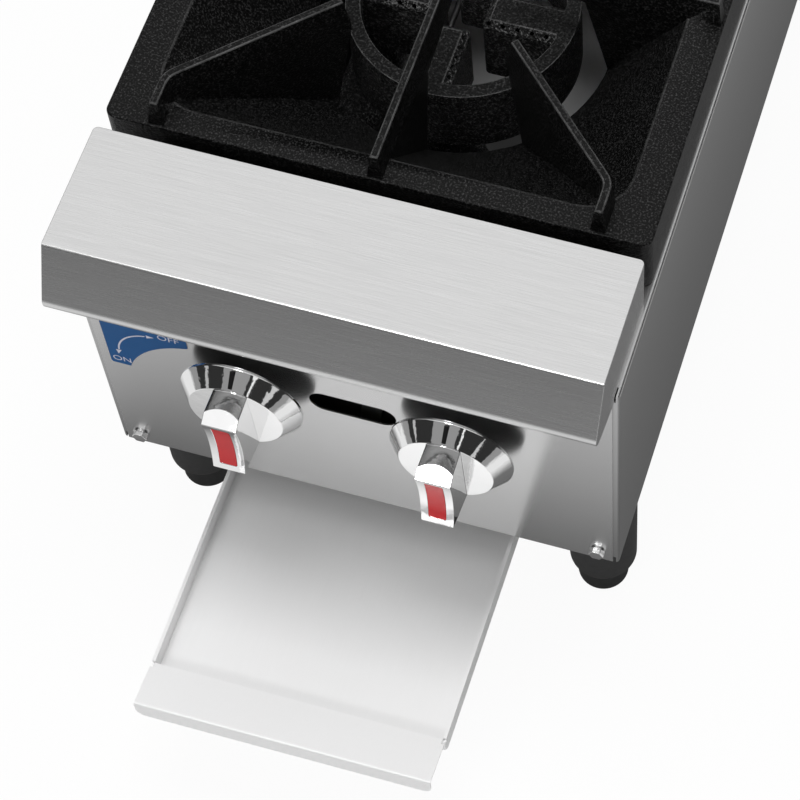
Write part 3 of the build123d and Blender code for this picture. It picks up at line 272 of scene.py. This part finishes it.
def smudge_group():
    """Faint smears that vary the gloss of a polished or painted surface."""
    group, start, end = new_group(
        "smudges",
        [
            ("Base", COLOR, grey(0.8)),
            ("Tone", FLOAT, 0.04),
            ("Roughness", FLOAT, 0.05),
            ("Spread", FLOAT, 0.05),
            ("Scale", FLOAT, 60.0),
        ],
        [("Color", COLOR), ("Roughness", FLOAT), ("Height", FLOAT)],
    )
    place = shader_node(group, "ShaderNodeTexCoord")
    noise = shader_node(group, "ShaderNodeTexNoise", Detail=4.0, Roughness=0.55)
    link(group, place.outputs["Object"], noise.inputs["Vector"])
    link(group, start.outputs["Scale"], noise.inputs["Scale"])
    rough = shader_node(group, "ShaderNodeMath", operation="MULTIPLY_ADD")
    link(group, noise.outputs["Fac"], rough.inputs[0])
    link(group, start.outputs["Spread"], rough.inputs[1])
    link(group, start.outputs["Roughness"], rough.inputs[2])
    link(group, rough.outputs[0], end.inputs["Roughness"])
    tone = shader_node(group, "ShaderNodeMath", operation="MULTIPLY_ADD")
    link(group, noise.outputs["Fac"], tone.inputs[0])
    link(group, start.outputs["Tone"], tone.inputs[1])
    tone.inputs[2].default_value = 1.0
    tint = shader_node(group, "ShaderNodeVectorMath", operation="SCALE")
    link(group, start.outputs["Base"], tint.inputs[0])
    link(group, tone.outputs[0], tint.inputs["Scale"])
    link(group, tint.outputs[0], end.inputs["Color"])
    link(group, noise.outputs["Fac"], end.inputs["Height"])
    return group


GRAIN = grain_group()
CASTING = casting_group()
SMUDGES = smudge_group()


def material(name, group, values, bump=0.0, distance=0.0002, vector=None, **surface):
    """Principled material whose colour, roughness and bump come from a shared group."""
    made = bpy.data.materials.new(name)
    made.use_nodes = True
    tree = made.node_tree
    shader = tree.nodes["Principled BSDF"]
    effect = shader_node(tree, "ShaderNodeGroup")
    effect.node_tree = group
    for label, value in values.items():
        effect.inputs[label].default_value = value
    if vector is not None:
        link(tree, scaled_object(tree, vector), effect.inputs["Vector"])
    link(tree, effect.outputs["Color"], shader.inputs["Base Color"])
    link(tree, effect.outputs["Roughness"], shader.inputs["Roughness"])
    if "Metallic" in effect.outputs:
        link(tree, effect.outputs["Metallic"], shader.inputs["Metallic"])
    if bump:
        relief = shader_node(tree, "ShaderNodeBump", Strength=bump, Distance=distance)
        link(tree, effect.outputs["Height"], relief.inputs["Height"])
        link(tree, relief.outputs["Normal"], shader.inputs["Normal"])
    for label, value in surface.items():
        shader.inputs[label.replace("_", " ")].default_value = value
    return made


def steel(name, tone, along, roughness, lines=0.10, anisotropic=0.5, turn=0.0, metallic=1.0):
    """Brushed stainless sheet whose grain runs along one axis."""
    scale = [2600.0, 2600.0, 2600.0]
    scale["xyz".index(along)] = 26.0
    return material(
        name,
        GRAIN,
        {
            "Base": grey(tone),
            "Line strength": lines,
            "Cloud strength": 0.05,
            "Roughness": roughness,
        },
        bump=0.05,
        distance=0.00005,
        vector=scale,
        Metallic=metallic,
        Anisotropic=anisotropic,
        Anisotropic_Rotation=turn,
    )


side_steel = steel("side brushed steel", 0.54, "y", 0.34)
front_steel = steel("front brushed steel", 0.60, "x", 0.22, anisotropic=0.7, turn=0.25)
ledge_steel = steel("ledge brushed steel", 0.68, "x", 0.26, lines=0.45, anisotropic=0.0)
tray_steel = steel("tray steel", 0.92, "y", 0.45, lines=0.05, anisotropic=0.0, metallic=0.25)
# Inner sheet metal, given a dark tone of 0.16
galvanised = steel("galvanised sheet", 0.16, "y", 0.45, lines=0.03)
fastener_steel = steel("fastener steel", 0.55, "z", 0.25, lines=0.03)
bolt_steel = steel("bolt steel", 0.78, "z", 0.14, lines=0.02)
grate_iron = material(
    "black cast grate",
    CASTING,
    {
        "Base": grey(0.002),
        "Worn": grey(0.14),
        "Edge": grey(0.30),
        "Scale": 900.0,
        "Specks": 0.5,
        # Edge tone: partly wear, partly a painted highlight
        "Edge wear": 0.6,
        "Roughness": 0.24,
    },
    bump=0.6,
    distance=0.0004,
    Specular_IOR_Level=0.16,
)
burner_iron = material(
    "raw cast burner",
    CASTING,
    {
        "Base": grey(0.007),
        "Worn": grey(0.30),
        "Edge": grey(0.34),
        "Scale": 800.0,
        "Specks": 0.25,
        # Extra specks on steep faces: partly raw casting, partly painted glints
        "Side specks": 0.8,
        # Edge tone: partly wear, partly a painted highlight
        "Edge wear": 0.5,
        "Roughness": 0.3,
    },
    bump=1.0,
    distance=0.0012,
    Specular_IOR_Level=0.2,
)
knob_chrome = material(
    "knob chrome",
    SMUDGES,
    {"Base": grey(0.88), "Roughness": 0.03, "Spread": 0.04},
    bump=0.25,
    distance=0.0008,
    Metallic=1.0,
)
knob_red = material(
    "red inlay",
    SMUDGES,
    {"Base": (0.62, 0.008, 0.012, 1), "Roughness": 0.12, "Spread": 0.05, "Tone": 0.2},
    Specular_IOR_Level=0.25,
)
knob_inside = material(
    "bare moulding",
    SMUDGES,
    {"Base": grey(0.004), "Roughness": 0.5, "Spread": 0.1},
    Specular_IOR_Level=0.2,
)
mark_black = material(
    "black mark",
    SMUDGES,
    {"Base": grey(0.006), "Roughness": 0.3, "Spread": 0.1},
    Specular_IOR_Level=0.3,
)
plate_blue = material(
    "blue dial print",
    SMUDGES,
    {"Base": (0.001, 0.085, 0.27, 1), "Roughness": 0.35, "Spread": 0.1, "Scale": 40.0},
    Specular_IOR_Level=0.12,
)
plate_rim = material(
    "pale dial rim", SMUDGES, {"Base": (0.50, 0.44, 0.42, 1), "Roughness": 0.4, "Spread": 0.1}
)
plate_white = material(
    "white dial print", SMUDGES, {"Base": (0.62, 0.62, 0.72, 1), "Roughness": 0.4, "Spread": 0.1}
)
brass = material(
    "turned brass",
    SMUDGES,
    {"Base": (0.62, 0.45, 0.2, 1), "Roughness": 0.25, "Spread": 0.2},
    Metallic=1.0,
)
pipe_black = material(
    "black pipe",
    SMUDGES,
    {"Base": grey(0.03), "Roughness": 0.35, "Spread": 0.25},
    bump=0.1,
    Metallic=0.3,
)
pilot_tube_metal = material(
    "drawn aluminium", SMUDGES, {"Base": grey(0.6), "Roughness": 0.3, "Spread": 0.2}, Metallic=1.0
)
leg_black = material(
    "black leg coat",
    SMUDGES,
    {"Base": grey(0.036), "Roughness": 0.34, "Spread": 0.2, "Scale": 400.0},
    bump=0.08,
)
foot_black = material(
    "black foot",
    SMUDGES,
    {"Base": grey(0.022), "Roughness": 0.42, "Spread": 0.2, "Scale": 400.0},
    bump=0.08,
)

FINISH = {
    "side_steel": side_steel,
    "front_steel": front_steel,
    "inner_steel": galvanised,
    "tray_steel": tray_steel,
    "grate_iron": grate_iron,
    "burner_iron": burner_iron,
    "knob_chrome": knob_chrome,
    "knob_red": knob_red,
    "valve_brass": brass,
    "stem_steel": fastener_steel,
    "pipe_black": pipe_black,
    "pilot_aluminium": pilot_tube_metal,
    "leg_black": leg_black,
    "foot_black": foot_black,
    "screw_steel": fastener_steel,
    "bolt_steel": bolt_steel,
}
slot_of = {part["node"]: part["material_slot"] for part in frame["record"]["subparts"]}
for name, node in nodes.items():
    for place in range(len(node.material_slots)):
        node.material_slots[place].material = FINISH[slot_of[name]]
nodes["front_ledge"].material_slots[0].material = ledge_steel


# Pieces


def new_object(name, mesh, finish):
    """Object in the scene from a bmesh, with its finish."""
    data = bpy.data.meshes.new(name)
    mesh.to_mesh(data)
    mesh.free()
    data.materials.append(finish)
    made = bpy.data.objects.new(name, data)
    bpy.context.scene.collection.objects.link(made)
    return made


def smoothed(made, angle=40):
    """Smooth shading that leaves the flat faces flat."""
    for face in made.data.polygons:
        face.use_smooth = True
    made.data.set_sharp_from_angle(angle=radians(angle))
    weights = made.modifiers.new("flat faces", "WEIGHTED_NORMAL")
    weights.keep_sharp = True
    return made


def bevelled(mesh, width, segments=2, sharp=28, chosen=None, wear_and_highlight=1.0):
    """Rounds the sharp edges, or the chosen ones of them, and marks the new faces for the lighter
    edge tone, which is partly wear and partly a painted highlight.
    """
    edge = mesh.faces.layers.float.get("edge") or mesh.faces.layers.float.new("edge")
    edges = [
        e
        for e in mesh.edges
        if len(e.link_faces) == 2
        and e.calc_face_angle() > radians(sharp)
        and (chosen is None or chosen(e))
    ]
    made = bmesh.ops.bevel(
        mesh,
        geom=edges,
        offset=width * MM,
        offset_type="OFFSET",
        segments=segments,
        profile=0.5,
        affect="EDGES",
        clamp_overlap=False,
        material=-1,
    )
    for face in made["faces"]:
        face[edge] = wear_and_highlight


def between(low, high):
    """Chooses the outward edges whose two ends lie between two heights in mm."""

    def chosen(edge):
        heights = [vert.co.z / MM for vert in edge.verts]
        return edge.is_convex and min(heights) > low and max(heights) < high

    return chosen


def rim_fold(edge):
    """Chooses the edges where a grate's flat rim turns down into its bowl."""
    if not between(GRATE_TOP - 0.2, GRATE_TOP + 0.2)(edge):
        return False
    rise = sorted(face.normal.z for face in edge.link_faces)
    return rise[1] > 0.99 and 0.2 < rise[0] < 0.95


def crisp_rim(mesh, centre_y):
    """Draws the round of a grate's outer top edge in to a smaller one."""
    inner = GRATE_HALF - GRATE_CORNER
    for vert in mesh.verts:
        x, y, z = vert.co.x / MM, vert.co.y / MM - centre_y, vert.co.z / MM
        reach = Vector((max(abs(x) - inner, 0), max(abs(y) - inner, 0)))
        if reach.length == 0:
            continue
        inset = GRATE_CORNER - reach.length
        out = (GRATE_ROUND - inset) / GRATE_ROUND
        up = (z - GRATE_TOP) / GRATE_ROUND + 1
        angle = atan2(up, out)
        if abs(Vector((out, up)).length - 1) > 0.03 or not 0 <= angle < radians(80):
            continue
        shift = inset - GRATE_CRISP * (1 - cos(angle))
        way = reach.normalized() * shift
        vert.co.x += (way.x if x > 0 else -way.x) * MM
        vert.co.y += (way.y if y > 0 else -way.y) * MM
        vert.co.z = (GRATE_TOP - GRATE_CRISP * (1 - sin(angle))) * MM


def deeper_bowl(mesh, centre_y):
    """Draws a grate's bowl down to a lower and narrower mouth."""
    for vert in mesh.verts:
        x, y, z = vert.co.x / MM, vert.co.y / MM - centre_y, vert.co.z / MM
        reach = Vector((x, y))
        outer = max(abs(x), abs(y)) > GRATE_INSIDE
        if outer or z > GRATE_TOP - 0.2 or reach.length < WEB_KNEE:
            continue
        if reach.length < BOWL_MOUTH - 0.5:
            share = (reach.length - WEB_KNEE) / (BOWL_MOUTH - WEB_KNEE)
        else:
            side = max(abs(x) / RIM_HALF_X, abs(y) / RIM_HALF_Y)
            rim = reach.length / side
            along = (rim - reach.length) / (rim - BOWL_MOUTH)
            drops = [(GRATE_TOP - z) / BOWL_DROP, (GRATE_TOP - GRATE_PLATE - z) / BOWL_DROP]
            share = min(drops, key=lambda drop: abs(drop - along))
            share = min(max(share, 0.0), 1.0)
        turn = atan2(reach.y, reach.x)
        finger = round(turn / (pi / 4)) * (pi / 4)
        if abs(turn - finger) < FINGER_SPREAD:
            turn = finger
        way = Vector((cos(turn), sin(turn))) * (BOWL_NARROWER * share)
        vert.co.x -= way.x * MM
        vert.co.y -= way.y * MM
        vert.co.z -= BOWL_DEEPER * share * MM


def clean_copy(name):
    """Mesh of a CAD node with its flat faces made whole."""
    mesh = bmesh.new()
    mesh.from_mesh(nodes[name].data)
    bmesh.ops.remove_doubles(mesh, verts=mesh.verts, dist=2e-6)
    bmesh.ops.dissolve_limit(
        mesh, angle_limit=radians(0.7), verts=mesh.verts, edges=mesh.edges
    )
    return mesh


def dressed(name, body, rounds, finish=None, mesh=None):
    """Stands in for a CAD node: the same shape with its sharp edges rounded."""
    mesh = mesh or clean_copy(name)
    for values in rounds:
        bevelled(mesh, **values)
    made = smoothed(new_object("dressed_" + name, mesh, finish or FINISH[slot_of[name]]))
    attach(made, body)
    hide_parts(name)
    return made


def unplated_inside(knob, x):
    """Gives the hollow back of a knob's skirt the bare dark moulding."""
    knob.data.materials.append(knob_inside)
    for face in knob.data.polygons:
        if face.center.y / MM < PANEL_Y - SKIRT_BACK:
            continue
        outward = Vector((face.center.x - x * MM, 0, face.center.z - KNOB_Z * MM)).normalized()
        if face.normal.y > 0.3 or face.normal.dot(outward) < -0.3:
            face.material_index = 1


# How strongly each rounded edge takes the lighter edge tone, partly wear and partly a painted
# highlight
finger_tops = {"width": 0.8, "chosen": between(GRATE_TOP + 1.5, 400), "wear_and_highlight": 0.45}
bowl_fold = {"width": 0.8, "chosen": rim_fold, "wear_and_highlight": 0.15}
head_top = {"width": 0.45, "chosen": between(HEAD_TOP - 0.1, HEAD_TOP + 0.1), "wear_and_highlight": 0.7}
for end in ("front", "rear"):
    iron = clean_copy(end + "_grate")
    crisp_rim(iron, GRATE_Y[end])
    deeper_bowl(iron, GRATE_Y[end])
    dressed(end + "_grate", end + "_grate", [finger_tops, bowl_fold], mesh=iron)
    dressed(end + "_burner_head", end + "_burner_head", [head_top])
    for side in ("left", "right"):
        dressed(f"{end}_{side}_leg", BODY, [{"width": 0.7}])
        dressed(f"{end}_{side}_foot", f"{end}_{side}_foot", [{"width": 0.8}])
for side, x in (("left", -KNOB_X), ("right", KNOB_X)):
    knob = dressed(side + "_knob", side + "_control", [{"width": 0.35}])
    unplated_inside(knob, x)
dressed("panel_bolts", BODY, [{"width": 0.35}])
dressed("panel_washers", BODY, [{"width": 0.2}])
dressed("front_ledge", BODY, [{"width": 0.35}], finish=ledge_steel)


def knob_mark(side, x):
    """Raised black line on the knob's skirt that points up when the tap is off."""
    mesh = bmesh.new()
    bmesh.ops.create_cube(mesh, size=1.0)
    bmesh.ops.scale(mesh, vec=(2.4 * MM, 10.5 * MM, 1.2 * MM), verts=mesh.verts)
    bevelled(mesh, 0.3)
    lean = Matrix.Rotation(radians(49.5), 4, "X")
    bmesh.ops.transform(mesh, matrix=lean, verts=mesh.verts)
    at = Vector((x, PANEL_Y - 16.9, KNOB_Z + 31.7)) * MM
    bmesh.ops.translate(mesh, vec=at, verts=mesh.verts)
    made = smoothed(new_object(side + "_knob_mark", mesh, mark_black))
    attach(made, side + "_control")
    return made


knob_mark("left", -KNOB_X)
knob_mark("right", KNOB_X)


# Printed dial plate beside the left knob


def arc(centre, radius, start, stop, steps):
    """Points on a circle in the panel's plane, between two angles in degrees."""
    points = []
    for step in range(steps + 1):
        angle = radians(start + (stop - start) * step / steps)
        points.append((centre[0] + radius * cos(angle), centre[1] + radius * sin(angle)))
    return points


def print_on_panel(name, outline, finish, lift, thick=0.05):
    """Thin flat shape on the front panel, from its outline in x and z."""
    mesh = bmesh.new()
    verts = [mesh.verts.new((x * MM, (PANEL_Y - lift) * MM, z * MM)) for x, z in outline]
    face = mesh.faces.new(verts)
    grown = bmesh.ops.extrude_face_region(mesh, geom=[face])
    moved = [item for item in grown["geom"] if isinstance(item, bmesh.types.BMVert)]
    bmesh.ops.translate(mesh, vec=(0, -thick * MM, 0), verts=moved)
    bmesh.ops.recalc_face_normals(mesh, faces=mesh.faces)
    made = new_object(name, mesh, finish)
    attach(made, BODY)
    return made


def panel_text(name, words, size, x, z):
    """Lettering as a thin mesh on the front panel, its left end on the base line at x, z."""
    curve = bpy.data.curves.new(name, "FONT")
    curve.body = words
    curve.size = size * MM
    curve.offset = -0.00003
    curve.extrude = 0.00003
    flat = bpy.data.objects.new(name + "_curve", curve)
    data = bpy.data.meshes.new_from_object(flat)
    bpy.data.objects.remove(flat)
    upright = Matrix.Rotation(radians(90), 4, "X")
    data.transform(Matrix.Translation(Vector((x, PANEL_Y - 0.34, z)) * MM) @ upright)
    data.materials.clear()
    data.materials.append(plate_white)
    made = bpy.data.objects.new(name, data)
    bpy.context.scene.collection.objects.link(made)
    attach(made, BODY)
    return made


def dial_outline(margin):
    """Square plate whose lower right is cut away by an arc, grown by a margin."""
    curve = arc((-79.9, 185.4), 54.6 - margin, 162.5, 106.0, 14)
    left = -143.3 - margin
    low = 201.9 - margin
    right = -92.9 + margin
    top = 251.5 + margin
    corners = [(left + 0.6, low + 0.25), (left + 2.0, low), (-133.2, low)]
    ends = [(right - 0.7, 238.5 - margin), (right, 239.4), (right, top - 1.2), (right - 1.2, top)]
    return corners + curve + ends + [(left + 1.2, top), (left, top - 1.2), (left, low + 1.8)]


def dial_arrow():
    """Arc with a head at each end."""
    centre = (-111.7, 217.0)
    outer = arc(centre, 25.1, 176.5, 104.0, 18)
    inner = arc(centre, 24.1, 104.0, 176.5, 18)
    print_on_panel("dial_arrow_arc", outer + inner, plate_white, 0.32)
    heads = [
        [(-137.3, 213.2), (-134.8, 218.0), (-138.3, 217.6)],
        [(-112.2, 241.7), (-116.7, 242.7), (-116.6, 239.6)],
    ]
    for place, head in enumerate(heads):
        print_on_panel(f"dial_arrow_head_{place}", head, plate_white, 0.32)


print_on_panel("dial_plate_rim", dial_outline(0.35), plate_rim, 0.02, 0.08)
print_on_panel("dial_plate", dial_outline(0.0), plate_blue, 0.1, 0.16)
dial_arrow()
panel_text("dial_on", "ON", 7.2, -141.9, 205.3)
panel_text("dial_off", "OFF", 7.4, -110.2, 241.6)


# Camera


def photo_camera():
    """Camera at the photograph's place, its axis off the frame's centre."""
    data = bpy.data.cameras.new("photo camera")
    data.sensor_width = 36.0
    data.lens = 123.35
    data.shift_x = -0.3295
    data.shift_y = 0.0864
    data.clip_start = 0.05
    data.clip_end = 60.0
    made = bpy.data.objects.new("photo camera", data)
    right = Vector((0.9632982, 0.2680332, 0.0146535))
    down = Vector((0.2440470, -0.8517451, -0.4636499))
    forward = Vector((-0.1117925, 0.4502093, -0.8858973))
    turn = Matrix((right, -down, -forward)).transposed().to_4x4()
    made.matrix_world = Matrix.Translation((0.3419, -0.94025, 1.5417)) @ turn
    bpy.context.scene.collection.objects.link(made)
    bpy.context.scene.camera = made


photo_camera()


# Floor, world and lamps


def stage_object(name, mesh):
    """Object of the stage from a bmesh, still without its finish."""
    data = bpy.data.meshes.new(name)
    mesh.to_mesh(data)
    mesh.free()
    made = bpy.data.objects.new(name, data)
    bpy.context.scene.collection.objects.link(made)
    return made


def flat_sheet(name, size, z):
    """Level sheet centred under the object."""
    mesh = bmesh.new()
    bmesh.ops.create_grid(mesh, x_segments=1, y_segments=1, size=0.5)
    bmesh.ops.scale(mesh, vec=(size[0], size[1], 1), verts=mesh.verts)
    bmesh.ops.translate(mesh, vec=(0, 0, z), verts=mesh.verts)
    return stage_object(name, mesh)


def seen_rays(tree):
    """1 for the rays that see the background: from the camera, off metal and through glass."""
    path = shader_node(tree, "ShaderNodeLightPath")
    seen = path.outputs["Is Camera Ray"]
    for label in ("Is Glossy Ray", "Is Transmission Ray"):
        either = shader_node(tree, "ShaderNodeMath", operation="MAXIMUM")
        link(tree, seen, either.inputs[0])
        link(tree, path.outputs[label], either.inputs[1])
        seen = either.outputs[0]
    return seen


def floor_material():
    """White to the rays that see the background, and plain matt to the rest."""
    made = bpy.data.materials.new("pale floor")
    made.use_nodes = True
    tree = made.node_tree
    tree.nodes.remove(tree.nodes["Principled BSDF"])
    out = tree.nodes["Material Output"]
    matt = shader_node(tree, "ShaderNodeBsdfDiffuse", Color=grey(0.86))
    glow = shader_node(tree, "ShaderNodeEmission", Color=grey(1.0), Strength=1.0)
    share = shader_node(tree, "ShaderNodeMath", operation="MULTIPLY")
    link(tree, seen_rays(tree), share.inputs[0])
    share.inputs[1].default_value = 0.95
    mix = shader_node(tree, "ShaderNodeMixShader")
    link(tree, share.outputs[0], mix.inputs["Fac"])
    link(tree, matt.outputs[0], mix.inputs[1])
    link(tree, glow.outputs[0], mix.inputs[2])
    link(tree, mix.outputs[0], out.inputs["Surface"])
    return made


def studio_card(made, finish):
    """Stage piece that only reflections see, as a photographer's card is."""
    made.data.materials.append(finish)
    for ray in ("camera", "diffuse", "transmission", "volume_scatter", "shadow"):
        setattr(made, "visible_" + ray, False)
    return made


def glow_material(name):
    """Material that only gives off light, with its tree and its emission node."""
    made = bpy.data.materials.new(name)
    made.use_nodes = True
    tree = made.node_tree
    tree.nodes.remove(tree.nodes["Principled BSDF"])
    glow = shader_node(tree, "ShaderNodeEmission", Color=grey(0.03), Strength=1.0)
    link(tree, glow.outputs[0], tree.nodes["Material Output"].inputs["Surface"])
    return made, tree, glow


def table_card():
    """Table top in reflections with a painted shadow: dark close to the body, pale round it, dark
    further off.
    """
    finish, tree, glow = glow_material("table card")
    place = shader_node(tree, "ShaderNodeTexCoord")
    axes = shader_node(tree, "ShaderNodeSeparateXYZ")
    link(tree, place.outputs["Object"], axes.inputs[0])
    sides = []
    for axis, centre, half in (("X", 0.06, 0.2125), ("Y", 0.062, 0.34)):
        shift = shader_node(tree, "ShaderNodeMath", operation="SUBTRACT")
        link(tree, axes.outputs[axis], shift.inputs[0])
        shift.inputs[1].default_value = centre
        size = shader_node(tree, "ShaderNodeMath", operation="ABSOLUTE")
        link(tree, shift.outputs[0], size.inputs[0])
        past = shader_node(tree, "ShaderNodeMath", operation="SUBTRACT")
        link(tree, size.outputs[0], past.inputs[0])
        past.inputs[1].default_value = half
        outside = shader_node(tree, "ShaderNodeMath", operation="MAXIMUM")
        link(tree, past.outputs[0], outside.inputs[0])
        outside.inputs[1].default_value = 0.0
        sides.append(outside.outputs[0])
    squares = [product(tree, side, side) for side in sides]
    total = shader_node(tree, "ShaderNodeMath", operation="ADD")
    link(tree, squares[0], total.inputs[0])
    link(tree, squares[1], total.inputs[1])
    distance = shader_node(tree, "ShaderNodeMath", operation="SQRT")
    link(tree, total.outputs[0], distance.inputs[0])
    ramp = shader_node(tree, "ShaderNodeValToRGB")
    link(tree, distance.outputs[0], ramp.inputs["Fac"])
    # Painted shade: the tone by distance from the body, darkest next to it and along its right
    # side, where its shadow falls
    stops = [
        (0.0, 0.15),
        (0.06, 0.17),
        (0.105, 0.45),
        (0.14, 0.62),
        (0.2, 0.85),
        (0.5, 0.85),
        (0.7, 0.3),
    ]
    elements = ramp.color_ramp.elements
    while len(elements) < len(stops):
        elements.new(0.5)
    for element, (at, tone) in zip(elements, stops):
        element.position = at
        element.color = grey(tone)
    link(tree, ramp.outputs["Color"], glow.inputs["Color"])
    return studio_card(flat_sheet("table card", (8, 8), 0.001), finish)


def wall_card():
    """Dark wall all round at the height of the horizon, for the dark bands in the chrome."""
    mesh = bmesh.new()
    ring = bmesh.ops.create_circle(mesh, segments=64, radius=3.0, cap_ends=False)
    grown = bmesh.ops.extrude_edge_only(mesh, edges=mesh.edges[:])
    top = [item for item in grown["geom"] if isinstance(item, bmesh.types.BMVert)]
    bmesh.ops.translate(mesh, vec=(0, 0, 2.6), verts=top)
    finish = glow_material("wall card")[0]
    return studio_card(stage_object("wall card", mesh), finish)


def patch_card(name, turn, low, high, width, tone):
    """Lit patch on the wall, from its bearing, height and width in degrees."""
    eye_y, eye_z = PATCH_EYE
    mesh = bmesh.new()
    corners = []
    for height, side in ((low, -1), (low, 1), (high, 1), (high, -1)):
        bearing = radians(turn + side * width / 2)
        x = PATCH_REACH * sin(bearing)
        y = eye_y - PATCH_REACH * cos(bearing)
        z = eye_z + PATCH_REACH * tan(radians(height))
        corners.append(mesh.verts.new((x, y, z)))
    mesh.faces.new(corners)
    finish, _, glow = glow_material(name)
    glow.inputs["Color"].default_value = grey(tone)
    return studio_card(stage_object(name, mesh), finish)


def studio_world():
    """White to the camera and in metal; an even soft grey room for the rest."""
    world = bpy.data.worlds.new("studio")
    bpy.context.scene.world = world
    world.use_nodes = True
    tree = world.node_tree
    tree.nodes.clear()
    out = shader_node(tree, "ShaderNodeOutputWorld")
    white = shader_node(tree, "ShaderNodeBackground", Color=grey(1.0), Strength=1.0)
    room = shader_node(tree, "ShaderNodeBackground", Color=grey(0.36), Strength=1.0)
    mix = shader_node(tree, "ShaderNodeMixShader")
    link(tree, seen_rays(tree), mix.inputs["Fac"])
    link(tree, room.outputs[0], mix.inputs[1])
    link(tree, white.outputs[0], mix.inputs[2])
    link(tree, mix.outputs[0], out.inputs["Surface"])


def soft_lamp(name, place, aim, size, power):
    """Rectangular lamp aimed at a point."""
    data = bpy.data.lights.new(name, "AREA")
    data.shape = "RECTANGLE"
    data.size, data.size_y = size
    data.energy = power
    made = bpy.data.objects.new(name, data)
    direction = Vector(aim) - Vector(place)
    turn = direction.to_track_quat("-Z", "Y").to_matrix().to_4x4()
    made.matrix_world = Matrix.Translation(place) @ turn
    bpy.context.scene.collection.objects.link(made)
    return made


bpy.context.scene.view_settings.view_transform = "Standard"
floor = flat_sheet("floor", (12, 12), -0.0005)
floor.data.materials.append(floor_material())
table_card()
wall_card()
studio_world()
for place, patch in enumerate(PATCHES):
    patch_card(f"patch_card_{place}", *patch)
overhead = soft_lamp("overhead", (0.05, -0.1, 2.3), (0.05, -0.1, 0.3), (1.0, 0.65), 28)
overhead.visible_glossy = False
soft_lamp("key", (-0.35, -1.75, 1.85), (0, -0.1, 0.25), (0.4, 0.4), 8)
